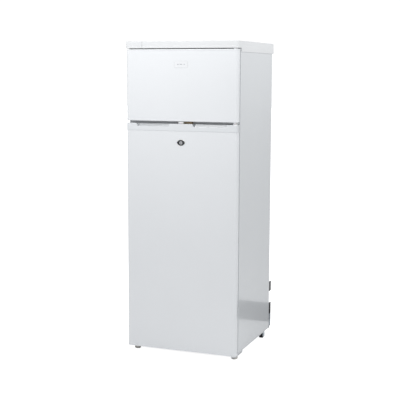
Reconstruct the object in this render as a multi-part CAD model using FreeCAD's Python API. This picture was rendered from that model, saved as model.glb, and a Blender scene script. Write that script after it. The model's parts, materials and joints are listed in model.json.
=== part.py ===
import FreeCAD, Part
import math
import os

# Top freezer refrigerator, in millimetres.
# +X is the viewer's right, -Y is the front, +Z is up. The origin is on the floor, under the middle.

# --- overall sizes
cabinet_width = 540.0
total_height = 1450.0
shell_depth = 477.0          # painted cabinet, front face to back edge
door_depth = 27.0            # from a door's frontmost face to its back edge
gasket_gap = 9.0             # from a door's back edge to the cabinet's face
rear_space = 53.0            # what the wall spacers hold free behind the cabinet
cover_side = 2.5             # how far the top cover stands out past each side
cover_rear = 22.0            # and past the cabinet's back
cover_rise = 34.0            # cover's top above the shell's top
cover_front_height = 30.0
cover_side_height = 48.5
foot_height = 20.0
shell_ground = 34.0          # shell's lower edge above the floor
door_ground = 27.0

# --- doors
freezer_door_height = 322.5
door_gap = 11.0
door_top_gap = 2.5
trim_proud = 2.0             # the fridge door's trim stands out from its panel
trim_side = 1.0
trim_height = 32.0
lower_cap = 10.0
freezer_cap_low = 8.0
freezer_cap_top = 6.0
corner_radius = 11.0
panel_sheet = 1.0
lip_width = 12.0
liner_sheet = 2.0
plug_clearance = 10.0        # door liner to compartment wall
freezer_plug = 34.0          # how far a door liner reaches behind the door
fridge_plug = 39.0
dyke_width = 25.0
recess_depth = 4.0

# --- gaskets
gasket_outset = 20.0         # from a door's side edge
gasket_width = 12.0
gasket_clearance = 0.3

# --- cabinet walls
shell_sheet = 1.0
face_width = 34.0            # steel face that a gasket closes on
side_insulation = 35.0
freezer_side_insulation = 45.0
fridge_back_insulation = 43.0
freezer_back_insulation = 58.0
bay_depth = 165.0            # compressor bay at the back
bay_height = 191.0
bay_insulation = 37.0
fridge_floor_rise = 44.0
mullion_half = 26.5
top_insulation = 45.0
liner_radius = 9.0

# --- hinges
hinge_inset = 15.0           # axis from the cabinet's side
hinge_setback = 14.0         # axis from the doors' frontmost face
hinge_plate = 3.0
pin_radius = 4.0
pin_clearance = 0.05
pin_reach = 11.5
bush_radius = 8.0
bush_depth = 14.0
bush_flange_radius = 10.0
bush_play = 0.5
bush_wall = 2.4              # of the trim's boss around a bush

# --- lock
lock_drop = 85.0             # lock's middle below the fridge door's top
lock_barrel_radius = 7.5
crank_radius = 12.0
crank_pin_radius = 2.0
crank_slack = 0.6
bolt_half_width = 8.0
bolt_thickness = 3.0
bolt_front = 13.0            # from the doors' frontmost face
bolt_below_trim = 0.5
bolt_play = 0.6

# --- inside
shelf_thickness = 4.0
shelf_headroom = 38.0        # lowest shelf above the step over the compressor bay
shelf_steps = [150.0, 170.0, 210.0, 228.0]      # how the space from there to the ceiling is shared out
shelf_front = 140.0          # behind the doors' frontmost face
ledge = 6.0
drawer_headroom = 16.6       # lowest shelf above the drawer's rim
drawer_wall = 2.5
drawer_front = 155.0
door_shelf_steps = [47.0, 435.0, 300.0, 198.0]  # how the space from floor to ceiling is shared out
door_shelf_heights = [115.0, 75.0, 75.0]
door_shelf_depth = 89.0
door_shelf_wall = 2.5

# --- running gear
foot_radius = 15.0
foot_inset = 25.0
foot_setback = 23.0          # from the cabinet's face
stud_radius = 5.0
roller_radius = 18.0
roller_width = 18.0
roller_inset = 15.0
roller_setback = 69.0        # axle from the cabinet's back
axle_radius = 3.0

# --- cooling circuit
tube_radius = 2.4
wire_radius = 0.8
coil_rows = 21
coil_side = 80.0             # coil's straight runs end this far inside the cabinet's sides
coil_rise = 75.0             # lowest run above the compressor bay
coil_drop = 116.0            # highest run below the shell's top
compressor_side = 7.5        # compressor to the bay's front and back
compressor_headroom = 25.0
compressor_x = 40.0
grommet_height = 12.0

# --- places worked out from the sizes above
half = cabinet_width / 2
overall_depth = door_depth + gasket_gap + shell_depth + rear_space
front = -overall_depth / 2
panel_front = front + trim_proud
door_back = front + door_depth
face = door_back + gasket_gap
shell_back = face + shell_depth
rear = shell_back + rear_space
cover_back = shell_back + cover_rear
shell_top = total_height - cover_rise
cover_half = half + cover_side
door_top = shell_top - door_top_gap
freezer_low = door_top - freezer_door_height
fridge_top = freezer_low - door_gap
trim_low = fridge_top - trim_height
door_middle = fridge_top + door_gap / 2
hinge_x = half - hinge_inset
hinge_y = front + hinge_setback
bay_front = shell_back - bay_depth
bay_top = shell_ground + bay_height
fridge_half = half - shell_sheet - side_insulation - liner_sheet
freezer_half = half - shell_sheet - freezer_side_insulation - liner_sheet
fridge_back = shell_back - fridge_back_insulation - liner_sheet
freezer_back = shell_back - freezer_back_insulation - liner_sheet
fridge_floor = shell_ground + fridge_floor_rise
fridge_ceiling = door_middle - mullion_half - 1
freezer_floor = door_middle + mullion_half + 3
freezer_ceiling = shell_top - shell_sheet - top_insulation
step_front = bay_front - bay_insulation
step_top = bay_top + bay_insulation
liner_back = face - gasket_gap - 1          # back of a door liner's flange
liner_front = liner_back - liner_sheet
foot_x = half - foot_inset
foot_y = face + foot_setback
roller_x = half - roller_inset
roller_y = shell_back - roller_setback
coil_y = shell_back + 26.0
coil_half_width = half - coil_side
coil_bottom = bay_top + coil_rise
coil_pitch = (shell_top - coil_drop - coil_bottom) / (coil_rows - 1)
compressor_radius = bay_depth / 2 - compressor_side
compressor_y = bay_front + bay_depth / 2 + 0.5
lock_height = fridge_top - lock_drop
rail_top = shell_ground
tray_sheet = 2.0
tray_low = 2 * roller_radius + 2.0
compressor_low = tray_low + tray_sheet + grommet_height + 3
compressor_height = bay_top - compressor_headroom - compressor_low
drawer_low = fridge_floor + 0.4


def shared_out(low, high, steps):
    # the heights that divide low to high in the proportion of the steps
    heights, below = [], 0.0
    for step in steps[:-1]:
        below += step
        heights.append(low + (high - low) * below / sum(steps))
    return heights


lowest_shelf = step_top + shelf_headroom
shelf_heights = [lowest_shelf] + shared_out(lowest_shelf, fridge_ceiling, shelf_steps)
door_shelf_levels = list(zip(shared_out(fridge_floor, fridge_ceiling, door_shelf_steps), door_shelf_heights))
drawer_height = lowest_shelf - drawer_headroom - drawer_low


def point(x, y, z):
    return FreeCAD.Vector(x, y, z)


def block(x, y, z):
    # a box from three (low, high) pairs
    return Part.makeBox(x[1] - x[0], y[1] - y[0], z[1] - z[0], point(x[0], y[0], z[0]))


def around(centre, size):
    return (centre - size / 2, centre + size / 2)


def upright_rod(x, y, z, radius):
    return Part.makeCylinder(radius, z[1] - z[0], point(x, y, z[0]), point(0, 0, 1))


def cross_rod(x, y, z, radius):
    return Part.makeCylinder(radius, x[1] - x[0], point(x[0], y, z), point(1, 0, 0))


def depth_rod(x, y, z, radius):
    return Part.makeCylinder(radius, y[1] - y[0], point(x, y[0], z), point(0, 1, 0))


def joined(shapes):
    first, rest = shapes[0], list(shapes[1:])
    return first.fuse(rest).removeSplitter() if rest else first


def side_prism(corners, x):
    # a (y, z) outline pushed along X
    wire = Part.makePolygon([point(x[0], y, z) for y, z in corners + corners[:1]])
    return Part.Face(wire).extrude(point(x[1] - x[0], 0, 0))


def front_prism(corners, y):
    # an (x, z) outline pushed along Y
    wire = Part.makePolygon([point(x, y[0], z) for x, z in corners + corners[:1]])
    return Part.Face(wire).extrude(point(0, y[1] - y[0], 0))


def soften(shape, radius, chosen):
    # rounds the edges whose box passes the test
    edges = [edge for edge in shape.Edges if chosen(edge.BoundBox)]
    return shape.makeFillet(radius, edges) if edges and radius > 0 else shape


def is_upright(box):
    return box.XLength < 0.01 and box.YLength < 0.01


def plan_block(half_width, y, z, front_radius, back_radius):
    # a box with rounded upright edges
    body = block((-half_width, half_width), y, z)
    body = soften(body, front_radius, lambda b: is_upright(b) and abs(b.YMin - y[0]) < 0.01)
    return soften(body, back_radius, lambda b: is_upright(b) and abs(b.YMin - y[1]) < 0.01)


def mirrored(shape):
    return shape.mirror(point(0, 0, 0), point(1, 0, 0))


def bent_tube(route, radius, bend):
    # a round tube along straight runs joined by tangent arcs
    points = [point(*p) for p in route]
    edges = []
    start = points[0]
    for before, corner, after in zip(points, points[1:], points[2:]):
        towards = (before - corner).normalize()
        away = (after - corner).normalize()
        turn = math.pi - towards.getAngle(away)
        setback = bend * math.tan(turn / 2)
        entry = corner + towards * setback
        leave = corner + away * setback
        bisector = (towards + away).normalize()
        middle = corner + bisector * (bend / math.cos(turn / 2) - bend)
        edges.append(Part.LineSegment(start, entry).toShape())
        edges.append(Part.Arc(entry, middle, leave).toShape())
        start = leave
    edges.append(Part.LineSegment(start, points[-1]).toShape())
    path = Part.Wire(edges)
    heading = (points[1] - points[0]).normalize()
    section = Part.Face(Part.Wire(Part.makeCircle(radius, points[0], heading)))
    return path.makePipe(section)


def save(name, *solids):
    shape = solids[0] if len(solids) == 1 else Part.makeCompound(list(solids))
    shape.exportStep(f"parts/{name}.step")


# ---------------------------------------------------------------- cabinet
def make_outer_shell():
    depth = (face, shell_back)
    outer = plan_block(half, depth, (shell_ground, shell_top), 2.0, 0)
    hollow = plan_block(half - shell_sheet, (face + shell_sheet, shell_back + 1),
                        (shell_ground - 1, shell_top - shell_sheet), 1.0, 0)
    opening = block((face_width - half, half - face_width), (face - 1, face + shell_sheet + 1),
                    (shell_ground + 40, shell_top - face_width))
    return outer.cut(hollow).cut(opening)


def make_mullion_bar():
    reach = half - face_width
    height = (fridge_ceiling - 1, freezer_floor - 1)
    return block((-reach, reach), (face, face + shell_sheet), height)


def make_bay_deck():
    reach = half - shell_sheet
    floor = block((-reach, reach), (face + shell_sheet, bay_front + 1), (shell_ground, shell_ground + 1))
    floor = soften(floor, 1.0, lambda b: is_upright(b) and b.YMin < face + 2)
    wall = block((-reach, reach), (bay_front, bay_front + 1), (shell_ground, bay_top))
    roof = block((-reach, reach), (bay_front, shell_back - 1), (bay_top - 1, bay_top))
    return joined([floor, wall, roof])


def make_rear_panel():
    reach = half - shell_sheet
    return block((-reach, reach), (shell_back - 1, shell_back), (bay_top - 1, shell_top - shell_sheet))


def fridge_hollow(grow):
    # the stepped space of the fridge compartment, or its liner's outside
    low, high = fridge_floor - grow, fridge_ceiling + grow
    outline = [(face - 2, low), (step_front + grow, low), (step_front + grow, step_top - grow),
               (fridge_back + grow, step_top - grow), (fridge_back + grow, high), (face - 2, high)]
    reach = fridge_half + grow
    body = side_prism(outline, (-reach, reach))
    return soften(body, liner_radius + grow,
                  lambda b: b.XLength < 0.01 and b.YMin > face and b.YLength < 0.01)


def freezer_hollow(grow):
    reach = freezer_half + grow
    body = block((-reach, reach), (face - 2, freezer_back + grow),
                 (freezer_floor - grow, freezer_ceiling + grow))
    return soften(body, liner_radius + grow,
                  lambda b: is_upright(b) and b.YMin > face)


def behind_face(shape):
    big = 4 * half
    return shape.cut(block((-big, big), (face - big, face + shell_sheet), (-big, total_height + big)))


def shelf_ledges():
    ledges = []
    depth = (front + shelf_front, fridge_back - liner_radius)
    for height in shelf_heights:
        ledges.append(block((fridge_half - ledge, fridge_half + 0.5), depth, (height - 5, height)))
    return ledges + [mirrored(rib) for rib in ledges]


def make_fridge_liner():
    shell = behind_face(fridge_hollow(liner_sheet).cut(fridge_hollow(0)))
    rim = block((-half + 8, half - 8), (face + shell_sheet, face + shell_sheet + liner_sheet),
                (shell_ground + 12, door_middle - 4))
    rim = rim.cut(fridge_hollow(0.5 * liner_sheet))
    return joined([shell, rim] + shelf_ledges())


def make_freezer_liner():
    shell = behind_face(freezer_hollow(liner_sheet).cut(freezer_hollow(0)))
    rim = block((-half + 8, half - 8), (face + shell_sheet, face + shell_sheet + liner_sheet),
                (door_middle + 4, shell_top - 12))
    rim = rim.cut(freezer_hollow(0.5 * liner_sheet))
    return joined([shell, rim])


def make_cabinet_foam(neighbours):
    reach = half - shell_sheet
    body = block((-reach, reach), (face + shell_sheet, shell_back - 1),
                 (shell_ground + 1, shell_top - shell_sheet))
    body = body.cut(block((-reach, reach), (bay_front, shell_back), (shell_ground, bay_top)))
    body = soften(body, 1.0, lambda b: is_upright(b) and b.YMin < face + 2)
    body = body.cut([fridge_hollow(liner_sheet), freezer_hollow(liner_sheet)])
    return body.cut(neighbours)


# ---------------------------------------------------------------- top cover
cap_edge = half - 79.0
cap_reach = 24.0
cover_ribs = [step * (half - 10) / 2 for step in (-1.5, -0.5, 0.5, 1.5)]


def whole_cover():
    low = total_height - cover_side_height
    body = block((-cover_half, cover_half), (front, cover_back), (low, total_height))
    body = soften(body, 7.0, is_upright)
    body = soften(body, 3.5, lambda b: b.ZMin > total_height - 0.01)
    ceiling = total_height - 3
    lip = total_height - cover_front_height
    inside = half - 0.8
    cuts = [
        block((-cover_half - 1, cover_half + 1), (front - 1, face + 4), (low - 1, lip)),
        block((-half, half), (face, shell_back), (low - 1, shell_top)),
        block((-inside, inside), (front + 3, face + 4), (lip + 2, ceiling)),
        block((-inside, inside), (face + 3.9, shell_back + 0.1), (shell_top - 0.1, ceiling)),
        block((-inside, inside), (shell_back, cover_back - 3), (low - 1, ceiling)),
    ]
    body = body.cut(cuts)
    ribs = [block(around(x, 2.0), (face + 70, shell_back), (shell_top, ceiling + 0.5))
            for x in cover_ribs]
    return joined([body] + ribs)


def make_covers():
    whole = whole_cover()
    big = total_height
    corner = block((-big, -cap_edge), (-big, face + cap_reach), (0, 2 * big))
    wider = block((-big, -cap_edge + 0.6), (-big, face + cap_reach + 0.4), (0, 2 * big))
    return whole.cut(wider), whole.common(corner)


# ---------------------------------------------------------------- hinges
def hinge_leaf(x, z):
    # a flat plate with a rounded nose around the axis
    nose = upright_rod(hinge_x, hinge_y, z, bush_flange_radius + 1)
    return nose, block(x, (hinge_y, face + 4), z)


def pin(z):
    return upright_rod(hinge_x, hinge_y, z, pin_radius)


def bush_room(door_end, outward):
    ends = sorted([door_end - outward * bush_depth, door_end])
    return upright_rod(hinge_x, hinge_y, ends, bush_radius)


def make_top_hinge():
    z = (shell_top, shell_top + hinge_plate)
    nose, arm = hinge_leaf((hinge_x - 11, hinge_x + 11), z)
    seat = block((hinge_x - 42, hinge_x + 11), (face - 2, face + 60), z)
    leaf = joined([nose, arm, seat, pin((door_top - pin_reach, shell_top + 1))])
    return leaf.cut([upright_rod(x, y, (z[0] - 1, z[1] + 1), 2.6) for x, y in top_screws()])


def top_screws():
    return [(hinge_x - 30, face + 16), (hinge_x - 30, face + 46), (hinge_x, face + 46)]


def middle_screws():
    return [(hinge_x - 46, door_middle - 5.8), (hinge_x - 20, door_middle + 5.8)]


def bottom_screws():
    return [(hinge_x - 46, shell_ground + 8), (hinge_x - 24, shell_ground + 8)]


def make_middle_hinge():
    z = around(door_middle, hinge_plate)
    nose, arm = hinge_leaf((hinge_x - 11, hinge_x + 11), z)
    wing = block((hinge_x - 58, hinge_x + 11), (face - 16, face - 2), z)
    flange = block((hinge_x - 58, hinge_x - 13), (face - 2, face), around(door_middle, 20))
    leaf = joined([nose, arm, wing, flange, pin((fridge_top - pin_reach, freezer_low + pin_reach))])
    leaf = leaf.cut(block((-half, half), (face, face + 40), (0, total_height)))
    return leaf.cut([depth_rod(x, (face - 3, face + 1), z_hole, 2.1) for x, z_hole in middle_screws()])


def make_bottom_hinge():
    top = door_ground - 4
    z = (top - hinge_plate, top)
    nose, arm = hinge_leaf((hinge_x - 11, hinge_x + 11), z)
    base = block((hinge_x - 55, hinge_x + 11), (face - 14, face), z)
    web = block((hinge_x - 55, hinge_x - 15), (face - 3, face), (z[0], shell_ground + 16))
    leaf = joined([nose, arm, base, web, pin((top - 1, door_ground + pin_reach))])
    leaf = leaf.cut(block((-half, half), (face, face + 40), (0, total_height)))
    return leaf.cut([depth_rod(x, (face - 4, face + 1), z_hole, 2.1) for x, z_hole in bottom_screws()])


def make_hinge_screws():
    screws = []
    for x, y in top_screws():
        head = upright_rod(x, y, (shell_top + hinge_plate, shell_top + hinge_plate + 3), 5.0)
        shank = upright_rod(x, y, (shell_top, shell_top + hinge_plate), 2.5)
        screws.append(joined([head, shank]))
    for x, z in middle_screws():
        head = depth_rod(x, (face - 4, face - 2), z, 3.6)
        screws.append(joined([head, depth_rod(x, (face - 2, face), z, 2.0)]))
    for x, z in bottom_screws():
        head = depth_rod(x, (face - 5, face - 3), z, 4.2)
        screws.append(joined([head, depth_rod(x, (face - 3, face), z, 2.0)]))
    return screws


def bush(door_end, outward, room):
    # a flanged plastic bush let into a door's end; outward is +1 at a top end
    body = bush_room(door_end, outward)
    flange_end = door_end + outward * (room - bush_play)
    flange = upright_rod(hinge_x, hinge_y, sorted([door_end, flange_end]), bush_flange_radius)
    bore = sorted([door_end - outward * (bush_depth - 2), flange_end + outward])
    return joined([body, flange]).cut(upright_rod(hinge_x, hinge_y, bore, pin_radius + pin_clearance))


# ---------------------------------------------------------------- doors
def door_panel(z):
    outer = plan_block(half, (panel_front, door_back), z, corner_radius, 1.5)
    inner = plan_block(half - panel_sheet, (panel_front + panel_sheet, door_back - panel_sheet), z,
                       corner_radius - panel_sheet, 0)
    mouth = block((lip_width - half, half - lip_width), (door_back - 2, door_back + 1), z)
    return outer.cut(inner).cut(mouth)


def liner_flange(z):
    reach = half - panel_sheet - 1
    return block((-reach, reach), (liner_front, liner_back), z)


def plug_shape(plug_half, z, depth, inset):
    # the raised ring behind a door, its middle sunk back towards the door
    back = door_back + depth - inset
    ring = block((inset - plug_half, plug_half - inset), (liner_front, back), (z[0] + inset, z[1] - inset))
    ring = soften(ring, 8.0 - inset, lambda b: b.YMin > back - 0.01)
    edge = dyke_width - inset
    middle = block((edge - plug_half, plug_half - edge), (door_back + recess_depth - inset, back + 1),
                   (z[0] + edge, z[1] - edge))
    return ring.cut(middle)


def door_liner(flange_z, plug_half, plug_z, depth):
    outer = liner_flange(flange_z).fuse(plug_shape(plug_half, plug_z, depth, 0)).removeSplitter()
    return outer.cut(plug_shape(plug_half, plug_z, depth, liner_sheet))


def door_foam(z, plug_half, plug_z, depth):
    slab = plan_block(half - panel_sheet, (panel_front + panel_sheet, liner_front), z,
                      corner_radius - panel_sheet, 0)
    return slab.fuse(plug_shape(plug_half, plug_z, depth, liner_sheet)).removeSplitter()


def door_gasket(z):
    reach = half - gasket_outset
    inner = reach - gasket_width
    back = face - gasket_clearance
    ring = block((-reach, reach), (liner_back, back), z)
    hole = block((-inner, inner), (liner_back - 1, back + 1), (z[0] + gasket_width, z[1] - gasket_width))
    ring = ring.cut(hole)
    groove = block((2 - reach, reach - 2), (liner_back + 3, back - 2.5), (z[0] + 2, z[1] - 2))
    keep = block((-inner - 2, inner + 2), (liner_back - 1, back + 1),
                 (z[0] + gasket_width - 2, z[1] - gasket_width + 2))
    return ring.cut(groove.cut(keep))


keeper_reach = 46.0          # keeper bracket's end, right of the middle
pocket_near = keeper_reach + 7.5
pocket_far = hinge_x - 33.5
pocket_slope = 8.5
pocket_lip_drop = 12.5
pocket_floor_drop = 28.0


def finger_pocket():
    # the scoop in the trim on the right; its front lip is lower than the trim's top
    top = fridge_top + 1
    lip = fridge_top - pocket_lip_drop
    floor = fridge_top - pocket_floor_drop
    section = side_prism([(front - 1, lip), (front + 4.5, lip), (front + 4.5, floor),
                          (front + 13, floor), (front + 22, top), (front - 1, top)],
                         (pocket_near - 1, pocket_far + 1))
    near, far = pocket_near + pocket_slope, pocket_far - pocket_slope
    outline = front_prism([(near, floor), (far, floor), (far, lip), (pocket_far, top),
                           (pocket_near, top), (near, lip)], (front - 2, front + 30))
    return section.common(outline)


def pocket_wall():
    return block((pocket_near - 2, pocket_far + 2), (front + 2, front + 24.5),
                 (fridge_top - pocket_floor_drop - 2.5, fridge_top))


def bolt_slot(z):
    room = bolt_play
    return block((-bolt_half_width - room, bolt_half_width + room),
                 (front + bolt_front - room, front + bolt_front + bolt_thickness + room), z)


def make_trim():
    z = (trim_low, fridge_top)
    body = plan_block(half + trim_side, (front, door_back), z, corner_radius + trim_side, 3.0)
    body = soften(body, 1.2, lambda b: b.ZLength < 0.01 and b.YMin < door_back - 4)
    cavity = plan_block(half - 2, (front + 3, liner_front), (trim_low - 1, fridge_top - 3), corner_radius - 2, 0)
    pockets = [finger_pocket(), mirrored(finger_pocket())]
    walls = [pocket_wall(), mirrored(pocket_wall())]
    boss = upright_rod(hinge_x, hinge_y, z, bush_radius + bush_wall)
    body = joined([body.cut(cavity.cut(walls + [boss]))])
    seat = block((lip_width - half, half - lip_width), (liner_back, door_back + 1),
                 (trim_low - 1, fridge_top - 4))
    hole = upright_rod(hinge_x, hinge_y, (fridge_top - bush_depth, fridge_top + 1), bush_radius)
    return body.cut(pockets + [seat, hole, bolt_slot((fridge_top - 4, fridge_top + 1))])


def trim_filling():
    # what the foam fills inside the trim, just clear of its walls
    cavity = plan_block(half - 3, (front + 4, liner_front), (trim_low, fridge_top - 3), corner_radius - 3, 0)
    boss = upright_rod(hinge_x, hinge_y, (trim_low - 1, fridge_top), bush_radius + bush_wall)
    return cavity.cut([pocket_wall(), mirrored(pocket_wall()), boss])


def make_lower_cap():
    body = plan_block(half + trim_side, (front, door_back), (door_ground, door_ground + lower_cap),
                      corner_radius + trim_side, 3.0)
    body = soften(body, 1.2, lambda b: b.ZLength < 0.01 and b.YMin < door_back - 4)
    return body.cut(upright_rod(hinge_x, hinge_y, (0, door_ground + lower_cap + 1), bush_radius))


def grip_recess(grow):
    # the hollow under the freezer door's edge, on the right
    return block((pocket_near + pocket_slope - grow, pocket_far - pocket_slope + grow),
                 (front + 6.0 - grow, front + 20.0 + grow), (freezer_low - 1, freezer_low + 14 + grow))


def make_freezer_cap_low():
    body = plan_block(half + trim_side, (front + 1, door_back), (freezer_low, freezer_low + freezer_cap_low),
                      corner_radius + trim_side, 3.0)
    body = soften(body, 3.0, lambda b: b.ZMax < freezer_low + 0.01 and b.YMin < door_back - 4)
    walls = grip_recess(2.0).cut(block((-half, half), (front, rear), (0, freezer_low)))
    body = joined([body, walls, mirrored(walls)])
    slot = bolt_slot((freezer_low - 1, freezer_low + 7))
    hole = upright_rod(hinge_x, hinge_y, (freezer_low - 1, freezer_low + freezer_cap_low + 1), bush_radius)
    return body.cut([grip_recess(0), mirrored(grip_recess(0)), slot, hole])


def make_freezer_cap_top():
    body = plan_block(half + 0.5, (front + 1, door_back), (door_top - freezer_cap_top, door_top),
                      corner_radius + 0.5, 3.0)
    body = soften(body, 2.0, lambda b: b.ZMin > door_top - 0.01 and b.YMin < door_back - 4)
    return body.cut(upright_rod(hinge_x, hinge_y, (door_top - 20, door_top + 1), bush_radius))


def tray_shape(reach, z, depth, wall):
    # an open-topped shelf hung between a door's dykes
    y = (door_back + recess_depth, door_back + recess_depth + depth)
    body = plan_block(reach, y, z, 0, 14.0)
    body = soften(body, 4.0, lambda b: b.ZMax < z[0] + 0.01 and b.YMax > y[0] + 1)
    room = plan_block(reach - wall, (y[0] + wall, y[1] - wall), (z[0] + wall, z[1] + 1), 0, 14.0 - wall)
    return body.cut(room)


# ---------------------------------------------------------------- lock
def crank_position():
    swing = crank_radius * math.sqrt(0.5)
    return swing, lock_height - swing


bolt_travel = 2 * crank_radius * math.sqrt(0.5)
bolt_top = fridge_top - bolt_below_trim


def make_lock_cylinder():
    barrel = depth_rod(0, (front + 0.4, front + 10.5), lock_height, lock_barrel_radius)
    keyway = block(around(0, 1.6), (front - 1, front + 5), around(lock_height, 8.0))
    disc = depth_rod(0, (front + 10, front + bolt_front - 0.8), lock_height, crank_radius + 3.2)
    x, z = crank_position()
    crank = depth_rod(x, (front + bolt_front - 1.5, front + bolt_front + bolt_thickness + 1), z, crank_pin_radius)
    return joined([barrel.cut(keyway), disc, crank])


def make_lock_bolt():
    y = (front + bolt_front, front + bolt_front + bolt_thickness)
    x, z = crank_position()
    reach = crank_radius + crank_pin_radius + crank_slack
    shaft = block((-bolt_half_width, bolt_half_width), y, (lock_height - 2, bolt_top))
    yoke = block((-bolt_half_width, reach + 3), y, (z - 6.5, z + 6.5))
    web = block((-bolt_half_width, bolt_half_width), y, (z, lock_height))
    slot = block((x - crank_pin_radius - crank_slack, reach), (y[0] - 1, y[1] + 1),
                 around(z, 2 * (crank_pin_radius + crank_slack)))
    return joined([shaft, yoke, web]).cut(slot)


def lock_room(grow):
    # the space the mechanism works in, or the outside of its case
    box_side = crank_radius + 8
    box = block((-box_side - grow, box_side + grow), (front + 9 - grow, front + 19 + grow),
                (lock_height - 22 - grow, lock_height + 20 + grow))
    channel = bolt_slot((lock_height, fridge_top - 3)).BoundBox
    shaft = block((channel.XMin - grow, channel.XMax + grow), (channel.YMin - grow, channel.YMax + grow),
                  (lock_height + 10, fridge_top - 3))
    return joined([box, shaft])


def make_lock_case():
    nose = depth_rod(0, (panel_front + panel_sheet, front + 9), lock_height, lock_barrel_radius + 3)
    case = joined([lock_room(1.5), nose])
    return case.cut([lock_room(0), depth_rod(0, (front, front + 9.5), lock_height, lock_barrel_radius + 0.1)])


def make_escutcheon():
    # eye shape: what two equal circles share
    width, height = 44.0, 30.0
    radius = (width * width + height * height) / (4 * height)
    shift = radius - height / 2
    depth = (front + 0.6, panel_front)
    eye = depth_rod(0, depth, lock_height + shift, radius).common(
        depth_rod(0, depth, lock_height - shift, radius))
    return eye.cut(depth_rod(0, (front, front + 3), lock_height, lock_barrel_radius + 0.1))


def make_keeper():
    z = around(door_middle, 7.0)
    strap = block((-10.0, keeper_reach), (front + 8, face - 2), around(door_middle, 2.0))
    flange = block((-10.0, keeper_reach), (face - 2, face), around(door_middle, 16))
    bracket = joined([strap, flange]).cut(bolt_slot((0, total_height)))
    body = block((-12.0, 12.0), (front + 1, front + 24), z)
    body = soften(body, 1.5, lambda b: is_upright(b) and b.YMin < front + 2)
    return bracket, body.cut([bolt_slot((0, total_height)), bracket])


# ---------------------------------------------------------------- running gear
def make_base_rail():
    reach = half - 4
    y = (face + shell_sheet, face + 75)
    body = block((-reach, reach), y, (foot_height, rail_top))
    room = block((1.5 - reach, reach - 1.5), (y[0] + 1.5, y[1] - 1.5), (foot_height + 3, rail_top + 1))
    holes = [upright_rod(side * foot_x, foot_y, (0, rail_top), stud_radius + 0.05) for side in (-1, 1)]
    return body.cut([room] + holes)


def make_foot(side):
    x = side * foot_x
    pad = upright_rod(x, foot_y, (0, 12), foot_radius)
    pad = soften(pad, 4.0, lambda b: b.ZMax < 0.01)
    collar = upright_rod(x, foot_y, (12, foot_height - 0.2), foot_radius - 3)
    stud = upright_rod(x, foot_y, (foot_height - 1, rail_top - 0.5), stud_radius)
    return joined([pad, collar, stud])


def make_roller(side):
    x = around(side * roller_x, roller_width)
    wheel = cross_rod(x, roller_y, roller_radius, roller_radius)
    wheel = soften(wheel, 1.5, lambda b: b.XLength < 0.01 and b.ZLength > 2 * roller_radius - 0.1)
    return wheel.cut(cross_rod((x[0] - 1, x[1] + 1), roller_y, roller_radius, axle_radius + 0.05))


def make_roller_bracket():
    low, high = around(roller_x, roller_width)
    cheeks = [block(x, around(roller_y, 28), (8, tray_low)) for x in ((low - 2.5, low - 1), (high + 1, high + 2.5))]
    axle = cross_rod((low - 2.5, high + 2.5), roller_y, roller_radius, axle_radius)
    return joined(cheeks + [axle])


def make_tray():
    reach = half - 3
    sheet = block((-reach, reach), (bay_front + 1, shell_back + 25), (tray_low, tray_low + tray_sheet))
    ears = [block(x, (bay_front + 1, shell_back + 42), (tray_low, tray_low + 65))
            for x in ((reach - 1.5, reach), (-reach, 1.5 - reach))]
    hem = block((-reach, reach), (shell_back + 23.5, shell_back + 25), (tray_low - 10, tray_low + 1))
    body = joined([sheet, hem] + ears)
    return body.cut([upright_rod(x, y, (0, 100), 4.1) for x, y in compressor_feet()])


def make_guards():
    # edge strips behind the rear corners
    reach = half - 3
    low_z = (tray_low + 65, tray_low + 122)
    lower = joined([block((reach - 3, reach), (shell_back - 5, shell_back + 42), low_z),
                    block((reach - 1, half - shell_sheet), (shell_back - 35, shell_back - 3), low_z)])
    upper = joined([block((reach - 2, reach), (shell_back, shell_back + 42), (bay_top - 5, bay_top + 44)),
                    block((reach - 27, reach), (shell_back, shell_back + 2), (bay_top + 1, bay_top + 44))])
    return lower, upper


# ---------------------------------------------------------------- cooling
def compressor_feet():
    return [(compressor_x + dx, compressor_y + dy) for dx in (-compressor_radius - 13, compressor_radius + 13)
            for dy in (27 - compressor_radius, compressor_radius - 27)]


def make_compressor():
    low = compressor_low
    shell = upright_rod(compressor_x, compressor_y, (low, low + compressor_height), compressor_radius)
    shell = soften(shell, 34.0, lambda b: b.ZLength < 0.01)
    seam = upright_rod(compressor_x, compressor_y, around(low + compressor_height * 0.55, 6), compressor_radius + 3)
    plate = block(around(compressor_x, 2 * compressor_radius + 56), around(compressor_y, 2 * compressor_radius - 26),
                  (low - 3, low + 0.5))
    body = joined([shell, seam, plate])
    return body.cut([upright_rod(x, y, (0, low + 1), 4.1) for x, y in compressor_feet()])


def make_grommets():
    low = tray_low + tray_sheet
    rings = []
    for x, y in compressor_feet():
        ring = upright_rod(x, y, (low, low + grommet_height), 12)
        waist = Part.makeTorus(13.5, 3.0, point(x, y, low + grommet_height / 2))
        rings.append(ring.cut([waist, upright_rod(x, y, (0, 100), 4.1)]))
    return rings


def relay_place():
    low = compressor_low + 37
    return (compressor_x + compressor_radius + 4, compressor_x + compressor_radius + 46), (low, low + 72)


def make_relay_cover():
    x, z = relay_place()
    body = block(x, around(compressor_y, 62), z)
    body = soften(body, 5.0, lambda b: b.YLength < 0.01 and b.ZLength < 0.01 and b.ZMin > z[0] + 1)
    stem = block((x[0] - 8, x[0] + 1), around(compressor_y, 30), (z[0] + 8, z[0] + 40))
    gland = depth_rod((x[0] + x[1]) / 2, (compressor_y + 30, compressor_y + 44), z[0] + 18, 7.0)
    inlet = depth_rod((x[0] + x[1]) / 2, (compressor_y + 34, compressor_y + 45), z[0] + 18, 3.8)
    return joined([body, stem, gland]).cut(inlet)


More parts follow.
